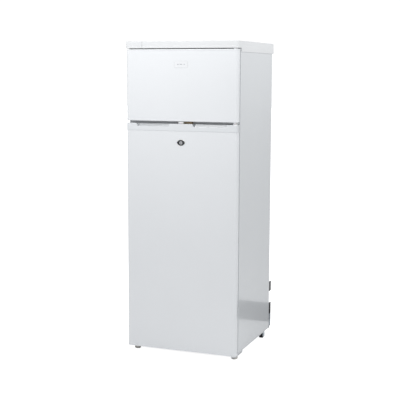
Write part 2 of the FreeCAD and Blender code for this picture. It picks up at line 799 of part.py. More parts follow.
def make_drip_tray():
    z = (compressor_low + compressor_height, bay_top - 12)
    width, depth = 2 * compressor_radius + 30, 2 * compressor_radius - 30
    outer = block(around(compressor_x, width), around(compressor_y, depth), z)
    outer = soften(outer, 10.0, is_upright)
    room = block(around(compressor_x, width - 4), around(compressor_y, depth - 4), (z[0] + 2, z[1] + 1))
    return outer.cut(soften(room, 8.0, is_upright))


def coil_route():
    corners = [(-coil_half_width, coil_y, coil_bottom)]
    side = 1
    for row in range(coil_rows - 1):
        height = coil_bottom + row * coil_pitch
        reach = side * (coil_half_width + coil_pitch / 2)
        corners += [(reach, coil_y, height), (reach, coil_y, height + coil_pitch)]
        side = -side
    return corners + [(side * coil_half_width, coil_y, coil_bottom + (coil_rows - 1) * coil_pitch)]


def make_coil_wires():
    z = (coil_bottom - 15, coil_bottom + (coil_rows - 1) * coil_pitch + 15)
    offset = tube_radius + wire_radius
    count = 19
    pitch = 2 * (coil_half_width - 10) / (count - 1)
    wires = []
    for index in range(count):
        x = 10 - coil_half_width + index * pitch
        wires += [upright_rod(x, coil_y + offset, z, wire_radius), upright_rod(x, coil_y - offset, z, wire_radius)]
    return wires


def make_coil_brackets(coil, wires):
    blocks = []
    for row in (1, coil_rows - 2):
        for side in (-1, 1):
            x = around(side * (coil_half_width - 5), 9)
            height = coil_bottom + row * coil_pitch
            blocks.append(block(x, (shell_back, rear), around(height, 30)).cut([coil] + wires))
    return blocks


def make_pipes(compressor):
    top_row = coil_bottom + (coil_rows - 1) * coil_pitch
    z = compressor_low + 57
    left = -coil_half_width - 15
    discharge = bent_tube([(compressor_x - compressor_radius + 6, compressor_y, z), (left, compressor_y, z),
                           (left, coil_y, z), (left, coil_y, coil_bottom), (-coil_half_width, coil_y, coil_bottom)],
                          tube_radius, 7.0)
    x = compressor_x + 20
    suction = bent_tube([(x, shell_back, bay_top + 35), (x, shell_back + 16, bay_top + 35),
                         (x, shell_back + 16, z + 20), (x, compressor_y + compressor_radius - 15, z + 20)],
                        3.2, 7.5)
    right = coil_half_width + 38
    liquid = bent_tube([(coil_half_width, coil_y, top_row), (right, coil_y, top_row),
                        (right, coil_y, top_row - 50)], tube_radius, 12.0)
    dryer = upright_rod(right, coil_y, (top_row - 150, top_row - 50), 8.0)
    dryer = soften(dryer, 5.0, lambda b: b.ZLength < 0.01)
    capillary = bent_tube([(right, coil_y, top_row - 150), (right, coil_y, top_row - 190),
                           (right, shell_back, top_row - 190)], 1.2, 8.0)
    return [discharge.cut(compressor), suction.cut(compressor), liquid, dryer, capillary]


def make_evaporator():
    # an aluminium sleeve on runners, open at the front
    reach = freezer_half - 8
    z = (freezer_floor + 6, freezer_ceiling - 6)
    y = (front + shelf_front - 7, freezer_back - 5)
    sleeve = block((-reach, reach), y, z)
    room = block((1.5 - reach, reach - 1.5), (y[0] - 1, y[1] - 1.5), (z[0] + 1.5, z[1] - 1.5))
    runners = [block(around(x, 10), (y[0] + 10, y[1] - 10), z_run) for x in (64 - reach, reach - 64)
               for z_run in ((freezer_floor, z[0]), (z[1], freezer_ceiling))]
    level = (z[0] + z[1]) / 2 - 5
    rest = block((reach - 11, reach - 1), (y[0] + 4, y[1] - 1), (level - 1.5, level))
    return joined([sleeve.cut(room), rest, mirrored(rest)] + runners), level, reach - 2, y


def make_freezer_shelf(level, reach, y):
    height = level + 2.5
    rods = [cross_rod((-reach + 1, reach - 1), depth, height, 2.5) for depth in (y[0] + 12, y[1] - 12)]
    count = 18
    pitch = 2 * (reach - 12) / (count - 1)
    rods += [depth_rod(12 - reach + i * pitch, (y[0] + 8, y[1] - 8), height + 2.6, 1.4) for i in range(count)]
    return joined(rods)


# ---------------------------------------------------------------- inside the fridge
def make_shelves():
    reach = fridge_half - 1
    depth = (front + shelf_front + 2, fridge_back - liner_radius)
    panes, trims = [], []
    for height in shelf_heights:
        pane = block((-reach, reach), depth, (height, height + shelf_thickness))
        strip = block((-reach, reach), (depth[0] - 3, depth[0] + 9), (height - 2, height + shelf_thickness + 3))
        strip = soften(strip, 1.5, lambda b: b.XLength > reach)
        ends = block((fridge_half - ledge - 0.5, reach + 1), (depth[0] - 4, depth[0] + 12), (height - 6, height))
        panes.append(pane)
        trims.append(strip.cut([pane, ends, mirrored(ends)]))
    return panes, trims


def make_drawer():
    y = (front + drawer_front, step_front - 3)
    low = drawer_low
    reach = fridge_half - 14
    body = soften(block((-reach, reach), y, (low, low + drawer_height)), 8.0, is_upright)
    room = soften(block((drawer_wall - reach, reach - drawer_wall), (y[0] + drawer_wall, y[1] - drawer_wall),
                        (low + drawer_wall, low + drawer_height + 1)), 8.0 - drawer_wall, is_upright)
    grip = block((-70.0, 70.0), (y[0] - 8, y[0] + 1), (low + drawer_height - 34, low + drawer_height - 26))
    return joined([body.cut(room), soften(grip, 2.5, lambda b: b.YMin < y[0] - 7.9 and b.ZLength < 0.01)])


box_x = (fridge_half - 170.0, fridge_half - 10.0)
box_front = door_back + fridge_plug + 5.0
box_height = 38.0
knob_x = box_x[0] + 43.0
knob_y = box_front + 92.0
press_x = box_x[1] - 13.0
press_z = fridge_ceiling - 24.0
lamp_x = box_x[0] + 111.0
lamp_y = box_front + 92.0


def make_thermostat_box():
    z = (fridge_ceiling - box_height, fridge_ceiling)
    y = (box_front, box_front + 152.0)
    body = soften(block(box_x, y, z), 6.0, lambda b: b.ZMax < z[0] + 0.01)
    room = block((box_x[0] + 2.5, box_x[1] - 2.5), (y[0] + 2.5, y[1] - 2.5), (z[0] + 2.5, z[1] + 1))
    knob_hole = upright_rod(knob_x, knob_y, (z[0] - 1, z[1] - 10), 4.05)
    press_hole = depth_rod(press_x, (y[0] - 1, y[0] + 4), press_z, 4.05)
    lamp_hole = block(around(lamp_x, 50.0), around(lamp_y, 50.0), (z[0] - 1, z[0] + 3))
    return body.cut([room, knob_hole, press_hole, lamp_hole])


def make_knob():
    z = fridge_ceiling - box_height
    disc = soften(upright_rod(knob_x, knob_y, (z - 14, z - 0.6), 17.0), 2.0, lambda b: b.ZMax < z - 13)
    grip = soften(block(around(knob_x, 7), around(knob_y, 30), (z - 20, z - 13)), 2.0,
                  lambda b: b.ZMax < z - 19.9)
    return joined([disc, grip, upright_rod(knob_x, knob_y, (z - 1, z + 20), 4.0)])


def make_press():
    rod = depth_rod(press_x, (box_front - 4.8, box_front + 14), press_z, 4.0)
    rod = soften(rod, 1.2, lambda b: b.YMax < box_front - 4.7)
    collar = depth_rod(press_x, (box_front + 2.9, box_front + 5.5), press_z, 6.0)
    return joined([rod, collar])


def make_lens():
    z = fridge_ceiling - box_height
    bowl = block(around(lamp_x, 60.0), around(lamp_y, 60.0), (z - 14, z))
    bowl = soften(bowl, 9.0, lambda b: b.ZMax < z - 13.9 or is_upright(b))
    room = block(around(lamp_x, 54.0), around(lamp_y, 54.0), (z - 11, z + 1))
    return bowl.cut(soften(room, 6.0, lambda b: b.ZMax < z - 10.9 or is_upright(b)))


# ---------------------------------------------------------------- assembly
def build_cabinet():
    bracket, keeper = make_keeper()
    mullion = make_mullion_bar()
    fridge_liner = make_fridge_liner()
    freezer_liner = make_freezer_liner()
    save("outer_shell", make_outer_shell())
    save("rear_panel", make_rear_panel())
    save("compressor_bay_deck", make_bay_deck())
    save("mullion_bar", mullion)
    save("fridge_liner", fridge_liner)
    save("freezer_liner", freezer_liner)
    save("cabinet_foam", make_cabinet_foam([fridge_liner, freezer_liner, mullion]))
    cover, cap = make_covers()
    save("top_cover", cover)
    save("top_cover_end_cap", cap)
    save("top_hinge", make_top_hinge())
    save("middle_hinge", make_middle_hinge())
    save("bottom_hinge", make_bottom_hinge())
    save("hinge_screws", *make_hinge_screws())
    save("keeper_bracket", bracket)
    save("keeper_block", keeper)


def build_running_gear():
    bracket = make_roller_bracket()
    save("base_rail", make_base_rail())
    save("front_foot_left", make_foot(-1))
    save("front_foot_right", make_foot(1))
    save("rear_roller_left", make_roller(-1))
    save("rear_roller_right", make_roller(1))
    save("compressor_tray", joined([make_tray(), bracket, mirrored(bracket)]))
    lower, upper = make_guards()
    save("rear_guards", lower, mirrored(lower), upper, mirrored(upper))


def build_cooling():
    coil = bent_tube(coil_route(), tube_radius, coil_pitch / 2 - 0.5)
    wires = make_coil_wires()
    compressor = make_compressor()
    save("compressor", compressor)
    save("compressor_grommets", *make_grommets())
    save("relay_cover", make_relay_cover().cut(compressor))
    save("drip_tray", make_drip_tray())
    save("condenser_tube", coil)
    save("condenser_wires", *wires)
    save("condenser_brackets", *make_coil_brackets(coil, wires))
    save("refrigerant_pipes", *make_pipes(compressor))
    evaporator, level, reach, y = make_evaporator()
    save("evaporator", evaporator)
    save("freezer_shelf", make_freezer_shelf(level, reach, y))


def build_inside():
    panes, trims = make_shelves()
    save("shelf_glass", *panes)
    save("shelf_trims", *trims)
    save("crisper_drawer", make_drawer())
    save("thermostat_box", make_thermostat_box())
    save("thermostat_knob", make_knob())
    save("switch_plunger", make_press())
    save("lamp_lens", make_lens())


def build_freezer_door():
    z = (freezer_low + freezer_cap_low, door_top - freezer_cap_top)
    plug_half = freezer_half - plug_clearance
    plug_z = (freezer_floor + 8, freezer_ceiling - 8)
    bushes = [bush(door_top, 1, shell_top - door_top), bush(freezer_low, -1, (door_gap - hinge_plate) / 2)]
    low_cap = make_freezer_cap_low()
    foam = door_foam(z, plug_half, plug_z, freezer_plug)
    save("freezer_door_panel", door_panel(z))
    save("freezer_door_top_cap", make_freezer_cap_top())
    save("freezer_door_bottom_cap", low_cap)
    save("freezer_door_liner", door_liner(z, plug_half, plug_z, freezer_plug).cut(low_cap))
    rooms = [grip_recess(2.0), mirrored(grip_recess(2.0)), bush_room(door_top, 1), bush_room(freezer_low, -1)]
    save("freezer_door_foam", foam.cut(rooms))
    save("freezer_door_gasket", door_gasket((z[0], door_top - 15)))
    save("freezer_door_bushes", *bushes)
    rack_z = (plug_z[0] + 62, plug_z[0] + 122)
    save("freezer_door_rack", tray_shape(plug_half - dyke_width, rack_z, 64.0, door_shelf_wall))
    badge_height = door_top - 67.5
    plate = soften(block(around(0, 65.0), (panel_front - 0.8, panel_front), around(badge_height, 29.0)), 2.5,
                   lambda b: b.XLength < 0.01 and b.ZLength < 0.01)
    save("badge", plate)


def build_fridge_door():
    z = (door_ground + lower_cap, trim_low)
    plug_half = fridge_half - plug_clearance
    plug_z = (fridge_floor + plug_clearance, trim_low)
    bushes = [bush(fridge_top, 1, (door_gap - hinge_plate) / 2), bush(door_ground, -1, 4.0)]
    case = make_lock_case()
    key_hole = depth_rod(0, (front - 1, front + 8), lock_height, lock_barrel_radius + 3)
    foam = joined([door_foam(z, plug_half, plug_z, fridge_plug), trim_filling()])
    save("fridge_door_panel", door_panel(z).cut(key_hole))
    save("fridge_door_trim", make_trim())
    save("fridge_door_bottom_cap", make_lower_cap())
    save("fridge_door_liner", door_liner(z, plug_half, plug_z, fridge_plug))
    rooms = [lock_room(1.5), key_hole, bush_room(fridge_top, 1), bush_room(door_ground, -1)]
    save("fridge_door_foam", foam.cut(rooms))
    save("fridge_door_gasket", door_gasket((z[0] + 17, fridge_top - 6)))
    save("fridge_door_bushes", *bushes)
    save("door_shelves", *[tray_shape(plug_half - dyke_width, (low, low + height), door_shelf_depth, door_shelf_wall)
                           for low, height in door_shelf_levels])
    save("lock_escutcheon", make_escutcheon())
    save("lock_case", case)
    save("lock_cylinder", make_lock_cylinder())
    save("lock_bolt", make_lock_bolt())


os.makedirs("parts", exist_ok=True)
build_cabinet()
build_running_gear()
build_cooling()
build_inside()
build_freezer_door()
build_fridge_door()
print("bolt travel", round(bolt_travel, 3), "radians per metre", round(1000 * (math.pi / 2) / bolt_travel, 3))
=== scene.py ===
import json
import math

import bmesh
import bpy
from mathutils import Matrix, Vector


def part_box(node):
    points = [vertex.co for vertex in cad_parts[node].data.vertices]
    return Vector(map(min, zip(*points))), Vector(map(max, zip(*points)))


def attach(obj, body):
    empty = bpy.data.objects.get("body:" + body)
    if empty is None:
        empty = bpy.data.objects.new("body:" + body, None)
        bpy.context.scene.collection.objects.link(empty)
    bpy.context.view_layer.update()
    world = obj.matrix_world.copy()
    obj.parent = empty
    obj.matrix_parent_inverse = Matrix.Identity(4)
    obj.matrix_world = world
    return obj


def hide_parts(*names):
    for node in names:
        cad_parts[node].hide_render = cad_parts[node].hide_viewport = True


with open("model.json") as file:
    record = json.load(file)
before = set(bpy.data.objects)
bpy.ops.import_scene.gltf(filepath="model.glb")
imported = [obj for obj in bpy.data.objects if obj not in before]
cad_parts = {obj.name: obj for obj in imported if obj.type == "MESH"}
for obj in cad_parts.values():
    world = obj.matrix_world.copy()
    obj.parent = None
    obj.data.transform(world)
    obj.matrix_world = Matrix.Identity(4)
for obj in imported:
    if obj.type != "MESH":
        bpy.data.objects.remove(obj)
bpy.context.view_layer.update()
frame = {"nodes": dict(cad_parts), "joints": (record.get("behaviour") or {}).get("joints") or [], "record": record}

print("frame loaded:", len(frame["nodes"]), "nodes")

mm = 0.001
scene = bpy.context.scene
joints = {joint["name"]: joint for joint in frame["joints"]}

# places that many pieces share, read from the frame
shellLow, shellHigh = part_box("outer_shell")
coverLow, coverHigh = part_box("top_cover")
trimLow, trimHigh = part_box("fridge_door_trim")
freezerLow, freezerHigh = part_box("freezer_door_panel")
fridgeLow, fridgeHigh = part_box("fridge_door_panel")
rearLow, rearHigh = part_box("rear_panel")
hinge = Vector(joints["fridge_door_hinge"]["pos_m"])
lock = Vector(joints["lock_turn"]["pos_m"])
frontY = trimLow.y


# ------ node graphs: one wrapper serves shader and geometry trees
class Wire:
    # an output socket, so that node maths reads as plain expressions
    def __init__(self, graph, socket):
        self.graph = graph
        self.socket = socket

    def __add__(self, other):
        return self.graph.maths("ADD", self, other)

    def __sub__(self, other):
        return self.graph.maths("SUBTRACT", self, other)

    def __rsub__(self, other):
        return self.graph.maths("SUBTRACT", other, self)

    def __mul__(self, other):
        return self.graph.maths("MULTIPLY", self, other)

    def __truediv__(self, other):
        return self.graph.maths("DIVIDE", self, other)

    def __gt__(self, other):
        return self.graph.maths("GREATER_THAN", self, other)

    def __lt__(self, other):
        return self.graph.maths("LESS_THAN", self, other)

    def __abs__(self):
        return self.graph.maths("ABSOLUTE", self)

    __radd__ = __add__
    __rmul__ = __mul__


class Graph:
    def __init__(self, tree):
        self.tree = tree

    def make(self, kind, settings=None, inputs=None, output=0):
        node = self.tree.nodes.new(kind)
        for name, value in (settings or {}).items():
            if name == "stops":
                ramp = node.color_ramp.elements
                while len(ramp) < len(value):
                    ramp.new(0.5)
                for stop, (place, shade) in zip(ramp, value):
                    stop.position = place
                    stop.color = (shade, shade, shade, 1)
            else:
                setattr(node, name, value)
        for key, value in (inputs or {}).items():
            self.plug(node.inputs[key], value)
        return Wire(self, node.outputs[output])

    def plug(self, socket, value):
        if isinstance(value, Wire):
            self.tree.links.new(value.socket, socket)
        elif value is not None:
            socket.default_value = value

    def maths(self, operation, *values):
        return self.make("ShaderNodeMath", {"operation": operation}, dict(enumerate(values)))

    def clamp(self, value):
        return self.make("ShaderNodeClamp", None, {0: value})


class Finish(Graph):
    # a material being built around one Principled shader
    def __init__(self, name):
        self.material = bpy.data.materials.new(name)
        self.material.use_nodes = True
        super().__init__(self.material.node_tree)
        self.tree.nodes.clear()
        self.shader = self.tree.nodes.new("ShaderNodeBsdfPrincipled")
        self.outlet = self.tree.nodes.new("ShaderNodeOutputMaterial")
        self.tree.links.new(self.shader.outputs[0], self.outlet.inputs[0])
        self.place = self.make("ShaderNodeTexCoord", None, None, "Object")

    def set(self, **values):
        for name, value in values.items():
            self.plug(self.shader.inputs[name.replace("_", " ")], value)
        return self

    def stretched(self, scale):
        return self.make("ShaderNodeMapping", None, {"Vector": self.place, "Scale": scale})

    def noise(self, scale, detail=3.0, where=None, rough=0.5):
        inputs = {"Vector": where or self.place, "Scale": scale, "Detail": detail, "Roughness": rough}
        return self.make("ShaderNodeTexNoise", None, inputs, "Fac")

    def between(self, amount, low, high):
        # a number that runs from low to high as amount goes from 0 to 1
        return amount * (high - low) + low

    def blend(self, amount, first, second):
        inputs = {0: amount, 6: colour(first), 7: colour(second)}
        return self.make("ShaderNodeMix", {"data_type": "RGBA"}, inputs, 2)

    def bump(self, height, distance, strength=1.0, under=None):
        inputs = {"Height": height, "Distance": distance, "Strength": strength, "Normal": under}
        return self.make("ShaderNodeBump", None, inputs)


def colour(value):
    if isinstance(value, Wire):
        return value
    return (*value, 1.0)


def shaded(base, factor):
    return tuple(min(1.0, channel * factor) for channel in base)


# ------ finishes
def moulded(name, base, rough=0.32, grain=900.0, depth=0.03, mottle=0.02, coat=0.0, glow=0.0, pocketShade=None):
    # moulded plastic: faint flow marks, spark texture and a little uneven gloss;
    # the painted pocket shade darkens what lies further back than a place, over a run, by a factor
    finish = Finish(name)
    flow = finish.noise(7.0, 4.0)
    spark = finish.noise(grain, 2.0)
    tone = finish.blend(flow, shaded(base, 1 - mottle), shaded(base, 1 + mottle))
    # painted shade: colour lying deeper than the given place is darker, in place of the shade inside a hollow
    if pocketShade:
        start, run, factor = pocketShade
        backward = finish.make("ShaderNodeSeparateXYZ", None, {0: finish.place}, "Y")
        tone = finish.blend(finish.clamp((backward - start) / run), tone, shaded(base, factor))
    wiped = finish.noise(26.0, 5.0, finish.stretched((1.0, 1.0, 0.35)))
    finish.set(Base_Color=tone, Roughness=finish.between(wiped, rough - 0.02, rough + 0.04))
    finish.set(Coat_Weight=coat, Coat_Roughness=0.12, Subsurface_Weight=glow, Subsurface_Scale=0.004)
    return finish.set(Normal=finish.bump(spark, depth * mm)).material


def painted(name, base, rough=0.16, coat=0.5, peel=260.0, depth=0.05):
    # baked enamel on pressed sheet: orange peel, a soft roll of the sheet, faint wiping marks
    finish = Finish(name)
    skin = finish.noise(peel, 1.0)
    roll = finish.noise(3.0, 1.0)
    wiped = finish.noise(14.0, 6.0, finish.stretched((1.0, 1.0, 0.3)))
    specks = finish.noise(2100.0, 0.0) > 0.79
    tone = finish.blend(finish.noise(5.0, 3.0), shaded(base, 0.985), shaded(base, 1.015))
    tone = finish.blend(specks * 0.25, tone, shaded(base, 0.72))
    finish.set(Base_Color=tone, Roughness=finish.between(wiped, rough - 0.04, rough + 0.08))
    finish.set(Coat_Weight=coat, Coat_Roughness=0.06)
    low = finish.bump(roll, 0.35 * mm, 0.5)
    return finish.set(Normal=finish.bump(skin, depth * mm, 0.6, low)).material


def spangled(name, base):
    # hot-dip galvanised sheet: crystals of zinc, each with its own tone and gloss
    finish = Finish(name)
    cells = finish.make("ShaderNodeTexVoronoi", None, {"Vector": finish.place, "Scale": 90.0}, "Color")
    crystal = finish.make("ShaderNodeSeparateColor", None, {0: cells})
    streak = finish.noise(30.0, 4.0, finish.stretched((8.0, 1.0, 1.0)))
    tone = finish.blend(crystal * 0.7 + streak * 0.3, shaded(base, 0.84), shaded(base, 1.14))
    finish.set(Base_Color=tone, Metallic=0.85, Roughness=finish.between(crystal, 0.34, 0.52))
    return finish.set(Normal=finish.bump(streak, 0.03 * mm)).material


def metal(name, base, rough=0.3, grain=(1.0, 1.0, 1.0), scale=120.0, stain=None):
    # drawn, turned or plated metal with a directed grain and faint stains
    finish = Finish(name)
    lines = finish.noise(scale, 4.0, finish.stretched(grain))
    patch = finish.noise(22.0, 5.0)
    tone = finish.blend(patch, shaded(base, 0.9), shaded(base, 1.08))
    if stain:
        tone = finish.blend(finish.clamp(patch * 3.0 - 1.5) * 0.5, tone, stain)
    finish.set(Base_Color=tone, Metallic=1.0, Roughness=finish.between(lines, rough - 0.08, rough + 0.1))
    return finish.set(Normal=finish.bump(lines, 0.02 * mm)).material


def rubber(name, base, rough=0.55):
    finish = Finish(name)
    skin = finish.noise(700.0, 3.0)
    dust = finish.clamp(finish.noise(40.0, 5.0) * 2.0 - 0.9)
    tone = finish.blend(dust * 0.35, base, shaded(base, 0.86))
    finish.set(Base_Color=tone, Roughness=finish.between(skin, rough - 0.08, rough + 0.12))
    return finish.set(Normal=finish.bump(skin, 0.04 * mm)).material


def foamed(name, base):
    # rigid foam where it shows: closed cells of two sizes
    finish = Finish(name)
    cells = finish.make("ShaderNodeTexVoronoi", None, {"Vector": finish.place, "Scale": 700.0}, "Distance")
    tone = finish.blend(finish.noise(18.0, 5.0), shaded(base, 0.86), base)
    finish.set(Base_Color=tone, Roughness=0.85)
    return finish.set(Normal=finish.bump(cells, 0.6 * mm)).material


def clear(name, base, alpha, rough=0.08, ribs=0.0):
    # clear moulding or glass: seen through, brighter and denser where it turns edge on
    finish = Finish(name)
    facing = finish.make("ShaderNodeLayerWeight", None, {"Blend": 0.35}, "Facing")
    haze = finish.noise(60.0, 4.0)
    density = finish.clamp(alpha + facing * 0.45 + haze * 0.05)
    tone = finish.blend(haze, shaded(base, 0.94), base)
    finish.set(Base_Color=tone, Alpha=density, Roughness=finish.between(haze, rough - 0.03, rough + 0.05))
    height = haze * 0.1
    if ribs:
        height = finish.make("ShaderNodeTexWave", {"bands_direction": "X"},
                             {"Vector": finish.place, "Scale": ribs, "Distortion": 0.0}, 1)
    return finish.set(Normal=finish.bump(height, 0.05 * mm)).material


finishes = {
    "cabinet_paint": painted("cabinetPaint", (0.735, 0.755, 0.775), 0.14, 0.6),
    "door_paint": painted("doorPaint", (0.84, 0.855, 0.875), 0.17, 0.5),
    "rear_sheet": painted("rearSheet", (0.66, 0.68, 0.70), 0.34, 0.1, 420.0),
    "galvanised_steel": spangled("galvanisedSheet", (0.60, 0.64, 0.68)),
    "hinge_steel": painted("hingeEnamel", (0.60, 0.61, 0.63), 0.3, 0.2),
    "screw_steel": metal("zincScrew", (0.68, 0.69, 0.70), 0.3),
    "plated_bracket": metal("yellowZinc", (0.50, 0.40, 0.27), 0.34, stain=(0.42, 0.38, 0.36)),
    "liner_plastic": moulded("linerPlastic", (0.86, 0.87, 0.88), 0.22, 500.0, 0.02, coat=0.3, glow=0.05),
    "cover_plastic": moulded("coverPlastic", (0.76, 0.77, 0.78), 0.3, 1100.0, 0.05),
    "door_cap_plastic": moulded("doorCapPlastic", (0.84, 0.855, 0.875), 0.28, coat=0.2),
    # the trim gets painted shade: colour more than 4.2 mm behind its front is darker, mostly in the finger pockets
    "trim_plastic": moulded("trimPlastic", (0.78, 0.80, 0.82), 0.3, mottle=0.006, coat=0.2,
                            pocketShade=(frontY + 4.2 * mm, 3 * mm, 0.82)),
    "white_plastic": moulded("whitePlastic", (0.86, 0.86, 0.86), 0.36, glow=0.05),
    "grey_plastic": moulded("greyPlastic", (0.46, 0.48, 0.50), 0.4),
    "black_plastic": moulded("blackPlastic", (0.022, 0.023, 0.026), 0.38, 800.0, 0.06, 0.2),
    "foot_plastic": moulded("footPlastic", (0.68, 0.66, 0.62), 0.45, 700.0, 0.05, 0.06),
    "clear_plastic": clear("clearPlastic", (0.80, 0.87, 0.90), 0.22),
    "lamp_plastic": clear("frostedLens", (0.93, 0.93, 0.90), 0.62, 0.3, 120.0),
    "insulation_foam": foamed("rigidFoam", (0.84, 0.74, 0.52)),
    "gasket_rubber": rubber("gasketRubber", (0.80, 0.82, 0.84), 0.45),
    "black_rubber": rubber("blackRubber", (0.03, 0.03, 0.032)),
    "badge_metal": painted("satinPlate", (0.82, 0.83, 0.85), 0.4, 0.15),
    "lock_chrome": metal("polishedChrome", (0.84, 0.85, 0.87), 0.14),
    "black_enamel": painted("blackEnamel", (0.016, 0.016, 0.018), 0.3, 0.3, 300.0),
    "copper": metal("drawnCopper", (0.72, 0.40, 0.27), 0.3, (1, 1, 6), stain=(0.36, 0.20, 0.14)),
    "evaporator_aluminium": metal("rolledAluminium", (0.78, 0.80, 0.82), 0.4, (1.0, 14.0, 1.0)),
    "white_wire": painted("coatedWire", (0.84, 0.85, 0.87), 0.28, 0.2),
    "shelf_glass": clear("toughenedGlass", (0.74, 0.88, 0.84), 0.16, 0.05),
}
slotOf = {part["node"]: part["material_slot"] for part in frame["record"]["subparts"]}
for name, node in frame["nodes"].items():
    for holder in node.material_slots:
        holder.material = finishes[slotOf[name]]
print("finishes:", len(finishes))


# ------ shaping tools
def newPiece(name, points, faces, material, sharp=35):
    mesh = bpy.data.meshes.new(name)
    mesh.from_pydata([tuple(p) for p in points], [], faces)
    mesh.materials.append(material)
    piece = bpy.data.objects.new(name, mesh)
    scene.collection.objects.link(piece)
    tidyMesh(piece, sharp)
    return piece


def tidyMesh(piece, sharp=35):
    # merges doubles, turns all faces outward and smooths up to the given angle
    work = bmesh.new()
    work.from_mesh(piece.data)
    bmesh.ops.remove_doubles(work, verts=work.verts, dist=0.00001)
    bmesh.ops.dissolve_degenerate(work, edges=work.edges, dist=0.00001)
    bmesh.ops.recalc_face_normals(work, faces=work.faces)
    work.to_mesh(piece.data)
    work.free()
    piece.data.shade_smooth()
    piece.data.set_sharp_from_angle(angle=math.radians(sharp))


def settle(piece, sharp=35):
    # turns what the modifiers make into the piece's own mesh
    graph = bpy.context.evaluated_depsgraph_get()
    old = piece.data
    piece.data = bpy.data.meshes.new_from_object(piece.evaluated_get(graph))
    piece.modifiers.clear()
    bpy.data.meshes.remove(old)
    piece.data.shade_smooth()
    piece.data.set_sharp_from_angle(angle=math.radians(sharp))
    return piece


def carved(piece, tool, operation="DIFFERENCE"):
    cut = piece.modifiers.new("cut", "BOOLEAN")
    cut.operation, cut.object, cut.solver = operation, tool, "EXACT"
    settle(piece)
    bpy.data.objects.remove(tool)
    return piece


def softened(piece, width, segments=3, angle=40):
    edge = piece.modifiers.new("edge", "BEVEL")
    edge.width, edge.segments, edge.angle_limit = width, segments, math.radians(angle)
    edge.limit_method = "ANGLE"
    return settle(piece, angle)


def boxPiece(name, low, high, material):
    points = [(x, y, z) for x in (low[0], high[0]) for y in (low[1], high[1]) for z in (low[2], high[2])]
    faces = [(0, 1, 3, 2), (4, 6, 7, 5), (0, 4, 5, 1), (2, 3, 7, 6), (0, 2, 6, 4), (1, 5, 7, 3)]
    return newPiece(name, points, faces, material)


def arc(centre, radius, start, end, steps):
    turns = [math.radians(start + (end - start) * i / steps) for i in range(steps + 1)]
    return [(centre[0] + radius * math.cos(t), centre[1] + radius * math.sin(t)) for t in turns]


def roundedPlan(halfWidth, y, frontRadius, backRadius, inset=0.0, steps=10):
    # a rounded rectangle seen from above, from the left front corner round
    points = []
    for side, depth, radius, start in ((-1, 0, frontRadius, 180), (1, 0, frontRadius, 270),
                                       (1, 1, backRadius, 0), (-1, 1, backRadius, 90)):
        turn = max(radius - inset, 0.0002)
        x = side * (halfWidth - inset - turn)
        inner = y[0] + inset + turn if depth == 0 else y[1] - inset - turn
        points += arc((x, inner), turn, start, start + 90, steps)
    return points


def stacked(name, outlineAt, profile, material, placed=None, sharp=35):
    # rings of one outline, each inset and raised as the profile says, closed at both ends
    rings = [[Vector((x, y, height)) for x, y in outlineAt(inset)] for inset, height in profile]
    count = len(rings[0])
    points = [placed(p) if placed else p for ring in rings for p in ring]
    faces = [tuple(reversed(range(count))), tuple(range(len(points) - count, len(points)))]
    for level in range(len(rings) - 1):
        base = level * count
        for i in range(count):
            j = (i + 1) % count
            faces.append((base + i, base + j, base + count + j, base + count + i))
    return newPiece(name, points, faces, material, sharp)


def lofted(name, sections, material, sharp=35):
    # a skin over closed sections that have the same number of points
    count = len(sections[0])
    points = [p for section in sections for p in section]
    faces = [tuple(range(count)), tuple(reversed(range(len(points) - count, len(points))))]
    for row in range(len(sections) - 1):
        base = row * count
        for i in range(count):
            j = (i + 1) % count
            faces.append((base + i, base + count + i, base + count + j, base + j))
    return newPiece(name, points, faces, material, sharp)


def turned(name, profile, axis, centre, material, steps=48, sharp=35):
    # a turned piece; the profile is (radius, distance along the axis) from one end to the other
    turn = Vector((0, 0, 1)).rotation_difference(Vector(axis)).to_matrix()
    points, faces = [], []
    for radius, along in profile:
        for i in range(steps):
            angle = 2 * math.pi * i / steps
            spoke = Vector((max(radius, 0.00001) * math.cos(angle), max(radius, 0.00001) * math.sin(angle), along))
            points.append(turn @ spoke + Vector(centre))
    for row in range(len(profile) - 1):
        for i in range(steps):
            j = (i + 1) % steps
            a, b = row * steps, (row + 1) * steps
            faces.append((a + i, a + j, b + j, b + i))
    faces += [tuple(reversed(range(steps))), tuple(range(len(points) - steps, len(points)))]
    return newPiece(name, points, faces, material, sharp)


def framed(name, low, high, radius, section, material, sharp=35, steps=6):
    # a section carried round a rounded rectangle that stands in the XZ plane;
    # the section's points are (how far outside the path, y)
    rings = []
    for side, level, start in ((1, 1, 0), (-1, 1, 90), (-1, -1, 180), (1, -1, 270)):
        x = high[0] - radius if side > 0 else low[0] + radius
        z = high[1] - radius if level > 0 else low[1] + radius
        for i in range(steps + 1):
            angle = math.radians(start + 90 * i / steps)
            out = Vector((math.cos(angle), 0, math.sin(angle)))
            rings.append([Vector((x, y, z)) + out * (radius + away) for away, y in section])
    count = len(section)
    points = [p for ring in rings for p in ring]
    faces = []
    for row in range(len(rings)):
        a, b = row * count, (row + 1) % len(rings) * count
        for i in range(count):
            j = (i + 1) % count
            faces.append((a + i, a + j, b + j, b + i))
    return newPiece(name, points, faces, material, sharp)


def fitted(piece, body, slot, *replaced):
    # a finished piece joins the frame; large faces lead its shading, so that flat ones stay flat
    lead = piece.modifiers.new("lead", "WEIGHTED_NORMAL")
    lead.keep_sharp = True
    settle(piece)
    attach(piece, body)
    if replaced:
        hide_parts(*replaced)
    return piece


def mergedPieces(name, pieces):
    # several shapes become one piece
    work = bmesh.new()
    for piece in pieces:
        work.from_mesh(piece.data)
    mesh = bpy.data.meshes.new(name)
    work.to_mesh(mesh)
    work.free()
    mesh.materials.append(pieces[0].data.materials[0])
    for piece in pieces:
        bpy.data.objects.remove(piece)
    whole = bpy.data.objects.new(name, mesh)
    scene.collection.objects.link(whole)
    mesh.set_sharp_from_angle(angle=math.radians(35))
    return whole


